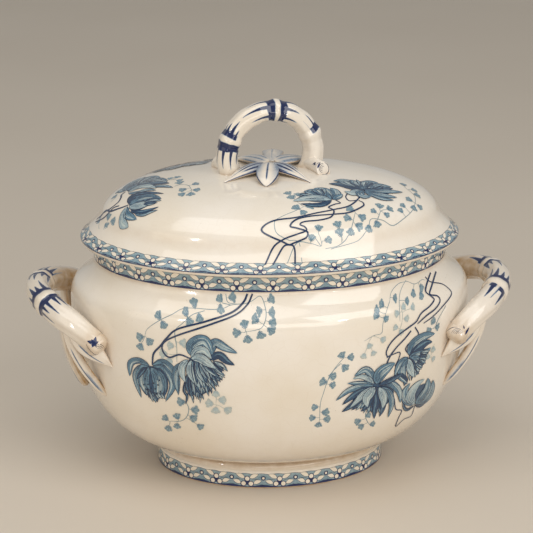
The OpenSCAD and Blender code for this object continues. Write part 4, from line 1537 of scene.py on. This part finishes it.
def build_studio():
    floor = bpy.data.meshes.new("floor")
    size, rows = 3.0, 13
    x, y = np.meshgrid(np.linspace(-size, size, rows), np.linspace(-size, size, rows))
    floor.from_pydata(np.stack([x, y, 0 * x], 2).reshape(-1, 3).tolist(), [], grid_faces(rows, rows))
    made = linked("floor", floor)
    shader = Shader("floor", 0.55)
    cloudy = shader.mix(shader.noise(0.4, 2.0), srgb(222, 212, 198), srgb(214, 203, 188))
    floor.materials.append(shader.colour(cloudy))

    world = bpy.data.worlds.new("studio")
    bpy.context.scene.world = world
    world.use_nodes = True
    background = world.node_tree.nodes["Background"]
    background.inputs["Color"].default_value = srgb(236, 234, 230)
    background.inputs["Strength"].default_value = 0.43

    def lamp(name, place, aim, width, height, power, colour):
        """A rectangle of light. Its place, aim and size are in metres and its power in watts."""
        data = bpy.data.lights.new(name, "AREA")
        data.shape, data.size, data.size_y = "RECTANGLE", width, height
        data.energy, data.color = power, colour[:3]
        made = linked(name, data)
        made.location = place
        made.rotation_euler = (Vector(aim) - Vector(place)).to_track_quat("-Z", "Y").to_euler()

    middle = (0, 0, 0.15)
    lamp("window", (1.3, -1.5, 1.5), middle, 1.5, 1.3, 16, srgb(255, 252, 248))
    lamp("sky", (-0.4, -0.6, 1.9), middle, 1.9, 1.5, 12.5, srgb(255, 252, 248))
    lamp("fill", (-1.6, -1.1, 0.7), middle, 1.3, 1.0, 3, srgb(255, 238, 212))
    lamp("low", (0.3, -1.9, 0.55), (0, 0, 0.12), 1.6, 0.5, 6, srgb(255, 246, 236))
    lamp("pane", (-0.95, -1.05, 0.72), middle, 0.10, 0.14, 1.0, srgb(250, 252, 255))
    lamp("bulb", (0.75, -1.2, 0.60), middle, 0.06, 0.06, 0.45, srgb(255, 252, 246))


def build_camera():
    """The camera stands a little to the left of the front and looks down. Lengths are in metres."""
    azimuth, elevation, distance = math.radians(-5.21), math.radians(17.82), 1.456
    # It aims this far to the side of the axis and this high
    aside, height = -0.00274, 0.1518
    aim = Vector((aside * math.cos(azimuth), aside * math.sin(azimuth), height))
    back = Vector((math.sin(azimuth) * math.cos(elevation), -math.cos(azimuth) * math.cos(elevation),
                   math.sin(elevation)))
    data = bpy.data.cameras.new("camera")
    data.sensor_width, data.lens = 36.0, 131.1
    made = linked("camera", data)
    made.location = aim + back * distance
    made.rotation_euler = (-back).to_track_quat("-Z", "Y").to_euler()
    bpy.context.scene.camera = made
    bpy.context.scene.view_settings.view_transform = "Standard"


build_camera()
build_studio()
build_bowl()
build_foot()
build_lid()
build_locating_ring()
build_branches()
build_borders()
build_bouquets()
build_inks()
